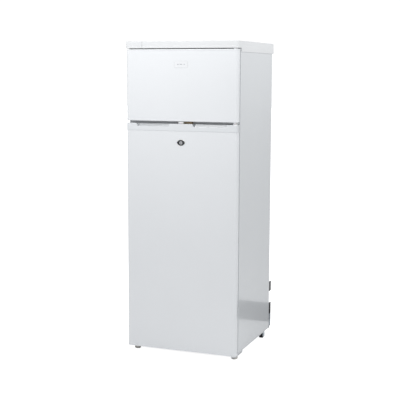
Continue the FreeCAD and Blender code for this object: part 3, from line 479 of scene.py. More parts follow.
# ------ geometry node trees
class Maker(Graph):
    # a geometry tree with named inputs; it ends in Realize Instances and Set Material
    def __init__(self, name, sizes):
        super().__init__(bpy.data.node_groups.new(name, "GeometryNodeTree"))
        self.keys = {}
        panel = self.tree.interface
        panel.new_socket("Geometry", in_out="INPUT", socket_type="NodeSocketGeometry")
        for label, kind in {**sizes, "Material": "Material"}.items():
            socket = panel.new_socket(label, in_out="INPUT", socket_type="NodeSocket" + kind)
            self.keys[label] = socket.identifier
        panel.new_socket("Geometry", in_out="OUTPUT", socket_type="NodeSocketGeometry")
        self.entry = self.tree.nodes.new("NodeGroupInput")

    def given(self, label):
        return Wire(self, self.entry.outputs[label])

    def end(self, shape):
        plain = self.make("GeometryNodeRealizeInstances", None, {0: shape})
        dressed = self.make("GeometryNodeSetMaterial", None, {0: plain, "Material": self.given("Material")})
        outlet = self.tree.nodes.new("NodeGroupOutput")
        self.plug(outlet.inputs[0], dressed)
        return self


def buildCopies():
    # a copy of one shape on every point of the base mesh
    maker = Maker("copiesOnPoints", {"Shape": "Object", "Turn": "Rotation"})
    shape = maker.make("GeometryNodeObjectInfo", None, {"Object": maker.given("Shape")}, "Geometry")
    inputs = {"Points": maker.given("Geometry"), "Instance": shape, "Rotation": maker.given("Turn")}
    return maker.end(maker.make("GeometryNodeInstanceOnPoints", None, inputs))


def buildRods():
    # round rod along every edge path of the base mesh, its corners bent to a radius
    maker = Maker("rodAlongPath", {"Radius": "Float", "Bend": "Float", "Sides": "Int"})
    path = maker.make("GeometryNodeMeshToCurve", None, {0: maker.given("Geometry")})
    bent = maker.make("GeometryNodeFilletCurve", None, {0: path, "Radius": maker.given("Bend")})
    nodeInputs = {node.bl_idname: node for node in maker.tree.nodes}
    fillet = nodeInputs["GeometryNodeFilletCurve"]
    if "Mode" in fillet.inputs:
        fillet.inputs["Mode"].default_value = "Poly"
    else:
        fillet.mode = "POLY"
    fillet.inputs["Count"].default_value = 8
    ring = maker.make("GeometryNodeCurvePrimitiveCircle", None,
                      {"Resolution": maker.given("Sides"), "Radius": maker.given("Radius")})
    inputs = {"Curve": bent, "Profile Curve": ring, "Fill Caps": True}
    return maker.end(maker.make("GeometryNodeCurveToMesh", None, inputs))


copiesTree = buildCopies()
rodsTree = buildRods()


def grown(piece, maker, material, sharp=35, **values):
    # runs a tree on a piece's base mesh and keeps the result as a plain mesh
    modifier = piece.modifiers.new("grow", "NODES")
    modifier.node_group = maker.tree
    for label, value in {**values, "Material": material}.items():
        modifier[maker.keys[label]] = value
    settle(piece, sharp)
    return piece


def basePiece(name, paths):
    # a mesh of bare points, or of open paths along which a rod runs
    points, edges = [], []
    for path in paths:
        start = len(points)
        points += [tuple(p) for p in path]
        edges += [(i, i + 1) for i in range(start, len(points) - 1)]
    mesh = bpy.data.meshes.new(name)
    mesh.from_pydata(points, edges, [])
    piece = bpy.data.objects.new(name, mesh)
    scene.collection.objects.link(piece)
    return piece


def copies(name, places, shape, material, turn=(0, 0, 0)):
    piece = grown(basePiece(name, [[p] for p in places]), copiesTree, material, Shape=shape, Turn=turn)
    bpy.data.objects.remove(shape)
    return piece


def rods(name, paths, radius, bend, material, sides=8):
    return grown(basePiece(name, paths), rodsTree, material, Radius=radius, Bend=bend, Sides=sides)


# ------ camera, floor and light
def makeCamera():
    view = {"azimuth": 21.003, "elevation": 7.659, "roll": 0.202, "lens": 85.3,
            "target": (-0.0146, 0.0, 0.6989), "distance": 4.584}
    azimuth, elevation, roll = (math.radians(view[k]) for k in ("azimuth", "elevation", "roll"))
    back = Vector((math.sin(azimuth) * math.cos(elevation), -math.cos(azimuth) * math.cos(elevation),
                   math.sin(elevation)))
    level = Vector((math.cos(azimuth), math.sin(azimuth), 0))
    raised = back.cross(level)
    right = level * math.cos(roll) + raised * math.sin(roll)
    up = raised * math.cos(roll) - level * math.sin(roll)
    lens = bpy.data.cameras.new("camera")
    lens.lens = view["lens"]
    camera = bpy.data.objects.new("camera", lens)
    scene.collection.objects.link(camera)
    camera.matrix_world = Matrix.Translation(Vector(view["target"]) + back * view["distance"]) @ Matrix(
        (right, up, back)).transposed().to_4x4()
    scene.camera = camera


def makeStage():
    floor = {"half": 30.0, "tone": (0.93, 0.93, 0.93), "rough": 0.6, "lift": 0.92}
    finish = Finish("paleFloor")
    cloudy = finish.noise(1.3, 3.0)
    finish.set(Base_Color=finish.blend(cloudy, shaded(floor["tone"], 0.985), floor["tone"]))
    seen = finish.make("ShaderNodeLightPath", None, None, "Is Camera Ray")
    finish.set(Roughness=floor["rough"], Specular_IOR_Level=0.2)
    finish.set(Emission_Color=(1.0, 1.0, 1.0, 1.0), Emission_Strength=seen * floor["lift"])
    h = floor["half"]
    ground = newPiece("floor", [(-h, -h, 0), (h, -h, 0), (h, h, 0), (-h, h, 0)], [(0, 1, 2, 3)], finish.material)


def makeLight():
    scene.view_settings.view_transform = "Standard"
    world = bpy.data.worlds.new("studio")
    scene.world = world
    world.use_nodes = True
    graph = Graph(world.node_tree)
    world.node_tree.nodes.clear()
    seen = graph.make("ShaderNodeLightPath", None, None, "Is Camera Ray")
    around = graph.make("ShaderNodeBackground", None, {"Color": (0.97, 0.985, 1.0, 1), "Strength": 0.565})
    behind = graph.make("ShaderNodeBackground", None, {"Color": (1, 1, 1, 1), "Strength": 1.1})
    mixed = graph.make("ShaderNodeMixShader", None, {0: seen, 1: around, 2: behind})
    graph.plug(world.node_tree.nodes.new("ShaderNodeOutputWorld").inputs[0], mixed)
    lamps = {
        "nearTop": {"at": (-0.3, -1.7, 2.35), "aim": (0, -0.28, 1.25), "size": 1.0, "power": 4.0},
        "rightSide": {"at": (2.3, -0.3, 2.6), "aim": (0.27, 0, 1.2), "size": 1.4, "power": 17.0},
        "sideHigh": {"at": (0.95, 0.05, 1.85), "aim": (0.27, 0.0, 1.35), "size": 0.6, "power": 2.4},
        "frontHigh": {"at": (-0.3, -1.5, 2.0), "aim": (0, -0.28, 1.35), "size": 0.8, "power": 10.5},
    }
    for name, lamp in lamps.items():
        light = bpy.data.lights.new(name, "AREA")
        light.size, light.energy = lamp["size"], lamp["power"]
        holder = bpy.data.objects.new(name, light)
        holder.location = lamp["at"]
        holder.rotation_mode = "QUATERNION"
        holder.rotation_quaternion = (Vector(lamp["aim"]) - Vector(lamp["at"])).to_track_quat("-Z", "Y")
        holder.visible_camera = False
        scene.collection.objects.link(holder)
    # a dark card on the floor behind, which only the glossy side sees
    card = newPiece("darkCard", [(0.3, 0.45, 0.004), (2.2, 0.45, 0.004), (2.2, 0.85, 0.004), (0.3, 0.85, 0.004)],
                    [(0, 1, 2, 3)], rubber("darkCard", (0.02, 0.02, 0.022), 0.9))
    card.visible_camera = card.visible_shadow = card.visible_diffuse = False


makeCamera()
makeStage()
makeLight()
print("camera, floor and light")


# ------ top cover
def makeCover():
    cover = {"wall": 2.5 * mm, "roof": 3 * mm, "corner": 7 * mm, "edge": 3.5 * mm, "band": 9 * mm,
             "step": 1.0 * mm, "capEdge": 191 * mm, "capReach": 24 * mm, "seam": 1.2 * mm, "front": 32.5 * mm}
    half, top = coverHigh.x, coverHigh.z
    lip = top - cover["front"]
    faceY = shellLow.y
    step, line = cover["step"], lip + cover["band"]
    turn = cover["edge"]

    def outline(inset):
        return roundedPlan(half, (coverLow.y, coverHigh.y), cover["corner"], cover["corner"], inset, 12)

    inner = [(cover["wall"], top - cover["roof"]), (cover["wall"], coverLow.z)]
    outer = [(0.0, coverLow.z), (0.0, line - 0.6 * mm), (0.25 * mm, line), (step, line + 0.25 * mm),
             (step, line + 0.9 * mm)]
    crown = arc((step + turn, top - turn), turn, 180, 90, 6)
    shell = stacked("coverShell", outline, inner + outer + crown, finishes["cover_plastic"])
    # the lip is shorter across the front, over the doors
    cut = boxPiece("cut", (-1, -1, 0), (1, faceY + 4 * mm, lip), None)
    carved(shell, cut)
    seam, edge, reach = cover["seam"], -cover["capEdge"], faceY + cover["capReach"]
    cap = shell.copy()
    cap.data = shell.data.copy()
    cap.name = "coverEndCap"
    scene.collection.objects.link(cap)
    carved(cap, boxPiece("corner", (-1, -1, 0), (edge, reach, 2), None), "INTERSECT")
    carved(shell, boxPiece("corner", (-1, -1, 0), (edge + seam, reach + seam, 2), None))
    shell.name = "coverShell"
    fitted(softened(shell, 0.25 * mm, 2), "cabinet", "cover_plastic", "top_cover")
    fitted(softened(cap, 0.25 * mm, 2), "cabinet", "cover_plastic", "top_cover_end_cap")


# ------ fridge door trim with its two finger pockets
def makeTrim():
    trim = {"near": 53.5 * mm, "far": 221.5 * mm, "slope": 8.5 * mm, "lipDrop": 12.5 * mm,
            "floorDrop": 28 * mm, "lipThick": 4.5 * mm, "floorBack": 13 * mm, "wallBack": 22 * mm,
            "corner": 12 * mm, "edge": 1.4 * mm}
    half, low, top = trimHigh.x, trimLow.z, trimHigh.z
    back = trimHigh.y - 1 * mm

    def share(x, start, run):
        # 0 outside the pocket, 1 inside it, with a soft S at both ends
        inside = min(abs(x) - trim["near"] - start, trim["far"] - start - abs(x))
        t = max(0.0, min(1.0, inside / run))
        return t * t * (3 - 2 * t)

    def section(x, set_back):
        lipShare = share(x, 0, trim["slope"])
        deepShare = share(x, trim["slope"] * 0.55, trim["slope"] * 0.5)
        y0 = frontY + set_back
        lipZ = top - trim["lipDrop"] * lipShare
        floorZ = top - trim["floorDrop"] * deepShare
        floorZ = min(floorZ, lipZ)
        inner = max(frontY + trim["lipThick"], y0 + 0.5 * mm)
        corners = [((y0, low), 1.2), ((y0, lipZ), 2.1), ((inner, lipZ), 2.1), ((inner, floorZ), 2.5),
                   ((max(frontY + trim["floorBack"], inner + 0.3 * mm), floorZ), 3.5),
                   ((frontY + trim["wallBack"], top), 1.2), ((back, top), 0.8), ((back, low), 0.8)]
        return [Vector((x, y, z)) for y, z in roundedCorners(corners, 5)]

    stations = []
    arcSteps = 10
    for i in range(arcSteps + 1):
        t = math.radians(90 * i / arcSteps)
        stations.append((half - trim["corner"] * (1 - math.cos(t)), trim["corner"] * (1 - math.sin(t))))
    inner = [trim["far"] + 1 * mm]
    inner += [trim["far"] - trim["slope"] * 1.6 * i / 16 for i in range(17)]
    inner += [trim["near"] + trim["slope"] * 1.6 * (16 - i) / 16 for i in range(17)]
    inner += [trim["near"] - 1 * mm, 9 * mm]
    stations += [(x, 0.0) for x in inner]
    stations += [(-x, back) for x, back in reversed(stations)]
    piece = lofted("doorTrim", [section(x, back) for x, back in stations], finishes["trim_plastic"], 40)
    boltLow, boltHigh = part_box("lock_bolt")
    slot = boxPiece("slot", (boltLow.x - 0.6 * mm, frontY + 12.4 * mm, top - 20 * mm),
                    (8.6 * mm, frontY + 16.6 * mm, top + 5 * mm), None)
    carved(piece, slot)
    fitted(piece, "fridge_door", "trim_plastic", "fridge_door_trim")


def roundedCorners(corners, steps):
    # a closed outline with each corner turned into an arc of the given radius in mm
    points = []
    count = len(corners)
    for i in range(count):
        (here, radius), before, after = corners[i], Vector(corners[i - 1][0]), Vector(corners[(i + 1) % count][0])
        here = Vector(here)
        into, out = before - here, after - here
        reach = min(radius * mm, into.length * 0.45, out.length * 0.45)
        if reach < 0.00002:
            points += [here.copy() for _ in range(steps + 1)]
            continue
        first, last = here + into.normalized() * reach, here + out.normalized() * reach
        for k in range(steps + 1):
            t = k / steps
            points.append(first * (1 - t) ** 2 + here * 2 * t * (1 - t) + last * t ** 2)
    return points


# ------ badge and lock
def onFront(depth):
    # lays a shape drawn in plan on the door's front, its height standing out to the front
    return lambda p: Vector((p.x, depth - p.z, p.y))


def makeBadge():
    badge = {"rim": 1.3 * mm, "corner": 2.6 * mm, "marks": 3, "markHeight": 1.6 * mm}
    low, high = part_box("badge")
    middle = (low + high) / 2
    half, tall = (high.x - low.x) / 2, (high.z - low.z) / 2
    thick = high.y - low.y

    def outline(inset):
        return [(x, y + middle.z) for x, y in
                roundedPlan(half, (-tall, tall), badge["corner"], badge["corner"], inset, 6)]

    rim = badge["rim"]
    profile = [(0, 0), (0, thick * 0.7), (0.25 * mm, thick), (rim * 0.8, thick), (rim, thick * 0.72),
               (rim + 0.3 * mm, thick * 0.62)]
    plate = stacked("badgePlate", outline, profile, finishes["badge_metal"], onFront(high.y))
    fitted(plate, "freezer_door", "badge_metal", "badge")
    edge = 0.6 * mm
    line = framed("badgeOutline", (low.x + edge, low.z + edge), (high.x - edge, high.z - edge), 2 * mm,
                  [(-edge, high.y), (edge, high.y), (edge, low.y + 0.1 * mm), (-edge, low.y + 0.02 * mm)],
                  finishes["grey_plastic"])
    fitted(line, "freezer_door", "grey_plastic")
    # three plain bars in place of any name
    bars = []
    for i, (x, wide) in enumerate(((-15 * mm, 9 * mm), (0, 13 * mm), (16 * mm, 7 * mm))):
        def bar(inset, x=x, wide=wide):
            tallBar = badge["markHeight"]
            return [(px + x, py + middle.z) for px, py in
                    roundedPlan(wide / 2, (-tallBar, tallBar), 1.2 * mm, 1.2 * mm, inset, 4)]
        bars.append(stacked("bar", bar, [(0, thick * 0.6), (0, thick * 0.8), (0.3 * mm, thick * 0.95)],
                            finishes["grey_plastic"], onFront(high.y)))
    fitted(mergedPieces("badgeBars", bars), "freezer_door", "grey_plastic")


def eyeOutline(width, height, inset, steps=18):
    # the shape two equal circles share, its points blunted a little
    width, height = width - 2 * inset, height - 2 * inset
    radius = (width ** 2 + height ** 2) / (4 * height)
    shift = radius - height / 2
    spread = math.degrees(math.asin(width / 2 / radius))
    return (arc((0, shift), radius, 270 - spread, 270 + spread, steps)[:-1]
            + arc((0, -shift), radius, 90 - spread, 90 + spread, steps)[:-1])


def makeLock():
    lockSet = {"width": 38 * mm, "height": 26 * mm, "bezel": 5.0 * mm, "barrel": 7.5 * mm}
    low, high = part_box("lock_escutcheon")
    panel, proud = high.y, high.y - low.y

    def eye(grow):
        return lambda inset: [(x, y + lock.z) for x, y in
                              eyeOutline(lockSet["width"] + 2 * grow, lockSet["height"] + 2 * grow, inset)]

    hollow = lockSet["barrel"] + 0.15 * mm
    plateProfile = [(0, 0), (0, proud * 0.45), (0.8 * mm, proud * 0.7), (2.2 * mm, proud * 0.82),
                    (6 * mm, proud * 0.9), (9 * mm, proud * 0.92)]
    plate = stacked("lockEyePlate", eye(0), plateProfile, finishes["black_plastic"], onFront(panel), 50)
    hole = turned("hole", [(hollow, -5 * mm), (hollow, 5 * mm)], (0, -1, 0), (0, panel, lock.z), None)
    carved(plate, hole)
    fitted(plate, "fridge_door", "black_plastic", "lock_escutcheon")
    bezel = stacked("lockBezel", eye(lockSet["bezel"]), [(0, 0), (0.1 * mm, 0.35 * mm), (0.7 * mm, 0.75 * mm),
                    (1.9 * mm, 0.75 * mm), (3.2 * mm, 0.3 * mm), (3.2 * mm, 0.05 * mm)],
                    finishes["white_plastic"], onFront(panel), 50)
    hole = turned("hole", [(hollow, -5 * mm), (hollow, 5 * mm)], (0, -1, 0), (0, panel, lock.z), None)
    carved(bezel, hole)
    fitted(bezel, "fridge_door", "white_plastic")
    ring = lockSet["barrel"]
    rim = turned("lockBarrelRim", [(ring, 0), (ring, 1.4 * mm), (ring - 0.5 * mm, 1.8 * mm),
                 (ring - 1.3 * mm, 1.9 * mm), (ring - 1.7 * mm, 1.6 * mm), (ring - 1.7 * mm, 0)],
                 (0, -1, 0), (0, panel, lock.z), finishes["lock_chrome"])
    fitted(rim, "lock_cylinder", "lock_chrome")


# ------ door gaskets
def edged(node, name, body, width, segments=2):
    # a moulding or pressing of the frame with its sharp edges rounded off
    piece = bpy.data.objects.new(name, frame["nodes"][node].data.copy())
    scene.collection.objects.link(piece)
    tidyMesh(piece)
    fitted(softened(piece, width, segments), body, slotOf[node], node)


def makeGasket(node, body):
    low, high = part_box(node)
    deep = high.y - low.y
    wide = 12 * mm
    y = low.y
    # push-in root, bellows and the flat strip that holds the magnet
    section = [(-4.5 * mm, y), (-4.5 * mm, y + 0.18 * deep), (-2.2 * mm, y + 0.24 * deep),
               (-3.6 * mm, y + 0.36 * deep), (-1.6 * mm, y + 0.46 * deep), (-5.4 * mm, y + 0.58 * deep),
               (-6.0 * mm, y + 0.66 * deep), (-6.0 * mm, y + 0.94 * deep), (-5.4 * mm, y + deep),
               (5.4 * mm, y + deep), (6.0 * mm, y + 0.94 * deep), (6.0 * mm, y + 0.66 * deep),
               (5.4 * mm, y + 0.58 * deep), (1.6 * mm, y + 0.46 * deep), (3.6 * mm, y + 0.36 * deep),
               (2.2 * mm, y + 0.24 * deep), (4.5 * mm, y + 0.18 * deep), (4.5 * mm, y)]
    inset = wide / 2
    piece = framed(node.replace("_gasket", "Seal").replace("_door", "Door"), (low.x + inset, low.z + inset),
                   (high.x - inset, high.z - inset), 9 * mm, section, finishes["gasket_rubber"], 50)
    fitted(piece, body, "gasket_rubber", node)
    # the outer flap, short of the door's own edge and clear of the cabinet as the door swings
    panelLow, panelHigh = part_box(body + "_panel")
    reach = min(panelHigh.x - high.x, panelHigh.z - high.z, low.z - panelLow.z) - 1.5 * mm
    near, far = panelHigh.y + 0.1 * mm, panelHigh.y + 4 * mm
    flap = framed(piece.name + "Flap", (low.x, low.z), (high.x, high.z), 9 * mm,
                  [(-1 * mm, near), (reach, near), (reach - 0.8 * mm, far), (-1 * mm, far)],
                  finishes["gasket_rubber"], 50)
    fitted(flap, body, "gasket_rubber")


# ------ feet and rollers
def makeFoot(node, body):
    low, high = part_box(node)
    centre = (low + high) / 2
    radius = (high.x - low.x) / 2
    pad = [(0, 0), (radius * 0.72, 0), (radius * 0.9, 1.2 * mm), (radius, 4.5 * mm), (radius, 9.5 * mm),
           (radius * 0.95, 11.2 * mm), (radius * 0.84, 12 * mm)]
    piece = turned("footPad" + node[-5:].strip("_").capitalize(), pad + [(radius * 0.5, 12 * mm), (0, 12 * mm)],
                   (0, 0, 1), (centre.x, centre.y, 0), finishes["foot_plastic"])
    collar = []
    teeth = 24
    for i in range(teeth * 4):
        angle = 2 * math.pi * i / (teeth * 4)
        grip = radius * 0.79 + (0.35 * mm if i % 4 < 2 else -0.35 * mm)
        collar.append((grip * math.cos(angle), grip * math.sin(angle)))

    def knurl(inset):
        scale = 1 - inset / radius
        return [(x * scale + centre.x, y * scale + centre.y) for x, y in collar]

    grip = stacked("collar", knurl, [(1 * mm, 11.8 * mm), (0, 12.6 * mm), (0, 18.8 * mm), (1 * mm, 19.8 * mm)],
                   finishes["grey_plastic"])
    stud = turned("stud", [(0, 19 * mm), (5 * mm, 19 * mm), (5 * mm, high.z - 0.6 * mm), (4.4 * mm, high.z),
                  (0, high.z)], (0, 0, 1), (centre.x, centre.y, 0), finishes["screw_steel"])
    fitted(piece, body, "foot_plastic", node)
    fitted(mergedPieces(piece.name + "Collar", [grip]), body, "grey_plastic")
    fitted(mergedPieces(piece.name + "Stud", [stud]), body, "screw_steel")


def makeRoller(node, body):
    low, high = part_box(node)
    centre = (low + high) / 2
    radius, half = (high.z - low.z) / 2, (high.x - low.x) / 2
    bore = 3.05 * mm
    profile = [(bore, -half), (7 * mm, -half), (7.6 * mm, -half + 2.5 * mm), (12.5 * mm, -half + 2.5 * mm),
               (13.2 * mm, -half), (radius - 1.5 * mm, -half), (radius, -half + 1.5 * mm),
               (radius, -2.2 * mm), (radius - 0.8 * mm, -1.6 * mm), (radius - 0.8 * mm, 1.6 * mm),
               (radius, 2.2 * mm), (radius, half - 1.5 * mm), (radius - 1.5 * mm, half), (13.2 * mm, half),
               (12.5 * mm, half - 2.5 * mm), (7.6 * mm, half - 2.5 * mm), (7 * mm, half), (bore, half),
               (bore, -half)]
    wheel = turned("wheel", profile[:-1], (1, 0, 0), centre, finishes["black_plastic"], 56)
    # the end discs close the bore, so they are opened again
    work = bmesh.new()
    work.from_mesh(wheel.data)
    bmesh.ops.delete(work, geom=[f for f in work.faces if len(f.verts) > 8], context="FACES_ONLY")
    edges = [e for e in work.edges if e.is_boundary]
    bmesh.ops.bridge_loops(work, edges=edges)
    bmesh.ops.recalc_face_normals(work, faces=work.faces)
    work.to_mesh(wheel.data)
    work.free()
    wheel.name = "rollerWheel" + ("Left" if centre.x < 0 else "Right")
    fitted(wheel, body, "black_plastic", node)
    # spokes in the side recesses, so that the wheel is seen to turn
    spokes = []
    for side in (-1, 1):
        for i in range(6):
            angle = math.pi * i / 3
            spoke = boxPiece("spoke", (-0.9 * mm, 7.4 * mm, -1 * mm), (0.9 * mm, 12.8 * mm, 1 * mm),
                             finishes["black_plastic"])
            place = (Matrix.Translation(centre + Vector((side * (half - 1.6 * mm), 0, 0)))
                     @ Matrix.Rotation(angle, 4, "X") @ Matrix.Rotation(math.pi / 2, 4, "Y"))
            spoke.data.transform(place)
            spokes.append(spoke)
    fitted(mergedPieces(wheel.name + "Spokes", spokes), body, "black_plastic")


# ------ screws
def screwHead(radius, height, material):
    # a pan head with a cross recess, its axis up
    dome = [(0, 0), (radius, 0), (radius, height * 0.35), (radius * 0.9, height * 0.72),
            (radius * 0.62, height * 0.95), (radius * 0.3, height), (0, height)]
    head = turned("head", dome, (0, 0, 1), (0, 0, 0), material, 28)
    for along, across in ((0.55, 0.13), (0.13, 0.55)):
        slot = boxPiece("slot", (-radius * along, -radius * across, height * 0.45),
                        (radius * along, radius * across, height * 2), material)
        carved(head, slot)
    return head


def makeScrews():
    screws = {"hinge": (5.0 * mm, 2.9 * mm), "side": (4.0 * mm, 2.0 * mm), "rear": (3.6 * mm, 1.8 * mm),
              "rearStep": 155 * mm, "rearInset": 9 * mm}
    steel = finishes["screw_steel"]
    top, face = [], []
    hingeLow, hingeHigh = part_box("top_hinge")
    for x, y in ((hinge.x - 30 * mm, shellLow.y + 16 * mm), (hinge.x - 30 * mm, shellLow.y + 46 * mm),
                 (hinge.x, shellLow.y + 46 * mm)):
        top.append((x, y, hingeHigh.z))
    gap = (trimHigh.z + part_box("freezer_door_bottom_cap")[0].z) / 2
    for x, z, y in ((hinge.x - 46 * mm, gap - 5.8 * mm, 2 * mm), (hinge.x - 20 * mm, gap + 5.8 * mm, 2 * mm),
                    (hinge.x - 46 * mm, shellLow.z + 8 * mm, 3 * mm), (hinge.x - 24 * mm, shellLow.z + 8 * mm, 3 * mm)):
        face.append((x, shellLow.y - y, z))
    upper = copies("hingeScrewsTop", top, screwHead(*screws["hinge"], steel), steel)
    lower = copies("hingeScrewsFront", face, screwHead(3.6 * mm, 2.0 * mm, steel), steel, (math.pi / 2, 0, 0))
    fitted(upper, "cabinet", "screw_steel", "hinge_screws")
    fitted(lower, "cabinet", "screw_steel")
    places = []
    inset = screws["rearInset"]
    rows = int((rearHigh.z - rearLow.z) / screws["rearStep"])
    for i in range(rows + 1):
        z = rearLow.z + inset + (rearHigh.z - rearLow.z - 2 * inset - 20 * mm) * i / rows
        places += [(side * (rearHigh.x - inset), rearHigh.y, z) for side in (-1, 1)]
    for i in range(1, 4):
        places.append((rearLow.x + (rearHigh.x - rearLow.x) * i / 4, rearHigh.y, rearLow.z + inset))
    rear = copies("rearPanelScrews", places, screwHead(*screws["rear"], steel), steel, (-math.pi / 2, 0, 0))
    fitted(rear, "cabinet", "screw_steel")


# ------ cooling circuit
def makeCoil():
    low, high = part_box("condenser_wires")
    wires = {"count": 19, "radius": 0.8 * mm}
    radius = wires["radius"]
    paths = []
    for i in range(wires["count"]):
        x = low.x + radius + (high.x - low.x - 2 * radius) * i / (wires["count"] - 1)
        for y in (low.y + radius, high.y - radius):
            paths.append([(x, y, low.z), (x, y, high.z)])
    piece = rods("condenserWires", paths, radius, 0.0, finishes["black_enamel"])
    fitted(piece, "cabinet", "black_enamel", "condenser_wires")
    # a spot of weld wherever a wire crosses the tube
    tubeLow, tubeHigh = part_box("condenser_tube")
    rows = 21
    welds = []
    for row in range(rows):
        z = tubeLow.z + 2.4 * mm + (tubeHigh.z - tubeLow.z - 4.8 * mm) * row / (rows - 1)
        welds += [(path[0][0], path[0][1], z) for path in paths]
    bead = turned("bead", [(0, -1.6 * mm), (0.9 * mm, -1.2 * mm), (1.15 * mm, 0), (0.9 * mm, 1.2 * mm),
                  (0, 1.6 * mm)], (0, 0, 1), (0, 0, 0), finishes["black_enamel"], 6)
    fitted(copies("condenserWelds", welds, bead, finishes["black_enamel"]), "cabinet", "black_enamel")


def makeEvaporatorChannels():
    low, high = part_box("evaporator")
    radius = 3.0 * mm
    side, floor = 8 * mm, 6 * mm
    x0, x1 = low.x + 1.5 * mm, high.x - 1.5 * mm
    z0, z1 = low.z + floor + 1.5 * mm, high.z - floor - 1.5 * mm
    paths = []
    for wallX in (x0, x1):
        path, up = [], 0
        for i in range(9):
            y = low.y + 24 * mm + i * (high.y - low.y - 50 * mm) / 8
            ends = (z0 + 18 * mm, z1 - 18 * mm)
            order = ends if up % 2 == 0 else ends[::-1]
            path += [(wallX, y, z) for z in order]
            up += 1
        paths.append(path)
    for wallZ in (z0 - 0.6 * mm, z1 + 0.6 * mm):
        path = []
        for i in range(9):
            y = low.y + 24 * mm + i * (high.y - low.y - 50 * mm) / 8
            ends = (x0 + 22 * mm, x1 - 22 * mm)
            path += [(x, y, wallZ) for x in (ends if i % 2 == 0 else ends[::-1])]
        paths.append(path)
    piece = rods("evaporatorChannels", paths, radius, 12 * mm, finishes["evaporator_aluminium"], 10)
    fitted(piece, "cabinet", "evaporator_aluminium")


def makeFreezerShelf():
    low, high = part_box("freezer_shelf")
    shelf = {"frame": 2.5 * mm, "wire": 1.4 * mm, "count": 18}
    level = low.z + shelf["frame"]
    corner = [(low.x + 3 * mm, low.y + 6 * mm), (high.x - 3 * mm, low.y + 6 * mm),
              (high.x - 3 * mm, high.y - 6 * mm), (low.x + 3 * mm, high.y - 6 * mm)]
    middle = (0.0, low.y + 6 * mm)
    ring = [(*middle, level)] + [(x, y, level) for x, y in corner[1:] + corner[:1]] + [(*middle, level)]
    frameRod = rods("frame", [ring], shelf["frame"], 14 * mm, finishes["white_wire"], 10)
    paths = []
    for i in range(shelf["count"]):
        x = low.x + 14 * mm + (high.x - low.x - 28 * mm) * i / (shelf["count"] - 1)
        paths.append([(x, low.y + 3 * mm, high.z - shelf["wire"]), (x, high.y - 3 * mm, high.z - shelf["wire"])])
    wireRods = rods("wires", paths, shelf["wire"], 0.0, finishes["white_wire"])
    fitted(mergedPieces("freezerWireShelf", [frameRod, wireRods]), "cabinet", "white_wire", "freezer_shelf")


def makeCompressorDetail():
    low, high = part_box("compressor")
    shellX, shellY = 40 * mm, (low.y + high.y) / 2
    stubs = []
    for dx, dz in ((-46, 78), (-58, 96)):
        start = (shellX + dx * mm, shellY + 40 * mm, low.z + dz * mm)
        stubs.append([start, (start[0] - 4 * mm, shellY + 78 * mm, start[2]),
                      (start[0] - 4 * mm, shellY + 79 * mm, start[2] + 34 * mm)])
    piece = rods("compressorStubs", stubs, 3.0 * mm, 7 * mm, finishes["copper"], 12)
    fitted(piece, "cabinet", "copper")


# ------ inside
def ribShape(length, width, height, material):
    # a half-round rib along Z, standing out towards -Y
    profile = arc((0, 0), width / 2, 180, 360, 8)
    rings = []
    for t, scale in ((-0.5, 0.1), (-0.492, 0.6), (-0.47, 1.0), (0.47, 1.0), (0.492, 0.6), (0.5, 0.1)):
        rings.append([Vector((x * scale, y * scale * 2 * height / width, t * length)) for x, y in profile])
    return lofted("rib", rings, material, 60)


def makeDrawerDetail():
    low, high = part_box("crisper_drawer")
    frontFace = low.y + 8 * mm
    ribs = {"count": 21, "width": 3.2 * mm, "height": 0.9 * mm}
    length = high.z - low.z - 66 * mm
    places = []
    for i in range(ribs["count"]):
        x = low.x + 22 * mm + (high.x - low.x - 44 * mm) * i / (ribs["count"] - 1)
        places.append((x, frontFace, low.z + 14 * mm + length / 2))
    rib = ribShape(length, ribs["width"], ribs["height"], finishes["clear_plastic"])
    fitted(copies("drawerRibs", places, rib, finishes["clear_plastic"]), "crisper_drawer", "clear_plastic")
    y = low.y + 8 * mm
    rim = rods("drawerRim", [[(0, y + 1.6 * mm, high.z - 2 * mm), (high.x - 2 * mm, y + 1.6 * mm, high.z - 2 * mm),
               (high.x - 2 * mm, high.y - 2 * mm, high.z - 2 * mm), (low.x + 2 * mm, high.y - 2 * mm, high.z - 2 * mm),
               (low.x + 2 * mm, y + 1.6 * mm, high.z - 2 * mm), (0, y + 1.6 * mm, high.z - 2 * mm)]],
               2.0 * mm, 8 * mm, finishes["clear_plastic"], 10)
    fitted(rim, "crisper_drawer", "clear_plastic")


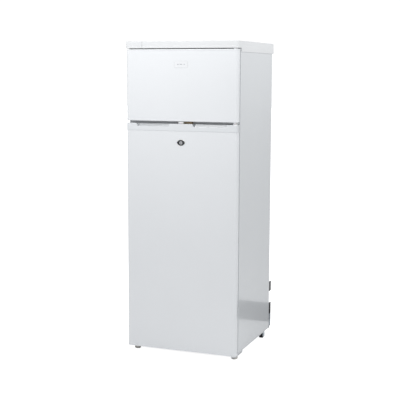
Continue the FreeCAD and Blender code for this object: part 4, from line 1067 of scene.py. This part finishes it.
def makeKnob():
    low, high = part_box("thermostat_knob")
    axis = Vector(joints["thermostat_turn"]["pos_m"])
    radius = (high.x - low.x) / 2
    flutes = 30

    def fluted(inset):
        points = []
        for i in range(flutes * 4):
            angle = 2 * math.pi * i / (flutes * 4)
            size = radius - inset - (0.45 * mm if i % 4 == 0 else 0.0)
            points.append((axis.x + size * math.cos(angle), axis.y + size * math.sin(angle)))
        return points

    base = low.z + 19.4 * mm
    disc = stacked("disc", fluted, [(0.6 * mm, base), (0, base - 0.6 * mm), (0, low.z + 8 * mm),
                   (1.8 * mm, low.z + 6.2 * mm)], finishes["grey_plastic"])

    def bar(inset):
        return [(x + axis.x, y + axis.y) for x, y in
                roundedPlan(3.6 * mm, (-15 * mm, 15 * mm), 3.2 * mm, 3.2 * mm, inset, 5)]

    grip = stacked("grip", bar, [(0, low.z + 7 * mm), (0, low.z + 1.6 * mm), (0.5 * mm, low.z + 0.4 * mm),
                   (1.4 * mm, low.z)], finishes["grey_plastic"])
    stem = turned("stem", [(4 * mm, 0), (4 * mm, high.z - base)], (0, 0, 1), (axis.x, axis.y, base),
                  finishes["grey_plastic"])
    fitted(mergedPieces("thermostatKnob", [disc, grip, stem]), "thermostat_knob", "grey_plastic", "thermostat_knob")
    mark = boxPiece("knobPointer", (axis.x - 0.6 * mm, axis.y - 14 * mm, low.z - 0.0 * mm),
                    (axis.x + 0.6 * mm, axis.y - 4 * mm, low.z + 0.3 * mm), finishes["black_plastic"])
    fitted(softened(mark, 0.1 * mm, 2), "thermostat_knob", "black_plastic")
    # plain numbers round the dial, from 0 to 5
    faceZ = base + 0.6 * mm
    digits = []
    for i in range(6):
        angle = math.radians(-90 - i * 54)
        curve = bpy.data.curves.new("digit", "FONT")
        curve.body = str(i)
        curve.size = 7.5 * mm
        curve.extrude = 0.15 * mm
        curve.align_x, curve.align_y = "CENTER", "CENTER"
        text = bpy.data.objects.new("digit", curve)
        scene.collection.objects.link(text)
        graph = bpy.context.evaluated_depsgraph_get()
        mesh = bpy.data.meshes.new_from_object(text.evaluated_get(graph))
        spot = Vector((axis.x + 22.5 * mm * math.cos(angle), axis.y + 22.5 * mm * math.sin(angle), faceZ))
        mesh.transform(Matrix.Translation(spot) @ Matrix.Rotation(math.pi, 4, "X"))
        mesh.materials.clear()
        mesh.materials.append(finishes["grey_plastic"])
        digit = bpy.data.objects.new("digitMesh", mesh)
        scene.collection.objects.link(digit)
        bpy.data.objects.remove(text)
        digits.append(digit)
    fitted(mergedPieces("dialNumbers", digits), "cabinet", "grey_plastic")


makeCover()
makeTrim()
makeBadge()
makeLock()
print("cover, trim, badge and lock")
edged("freezer_door_top_cap", "freezerCapTop", "freezer_door", 1.8 * mm)
edged("fridge_door_bottom_cap", "fridgeCapBottom", "fridge_door", 0.9 * mm)
makeGasket("freezer_door_gasket", "freezer_door")
makeGasket("fridge_door_gasket", "fridge_door")
makeFoot("front_foot_left", "foot_left")
makeFoot("front_foot_right", "foot_right")
makeRoller("rear_roller_left", "roller_left")
makeRoller("rear_roller_right", "roller_right")
makeScrews()
print("gaskets, feet, rollers and screws")
makeCoil()
makeEvaporatorChannels()
makeFreezerShelf()
makeCompressorDetail()
print("cooling circuit")
makeDrawerDetail()
makeKnob()
print("inside pieces")
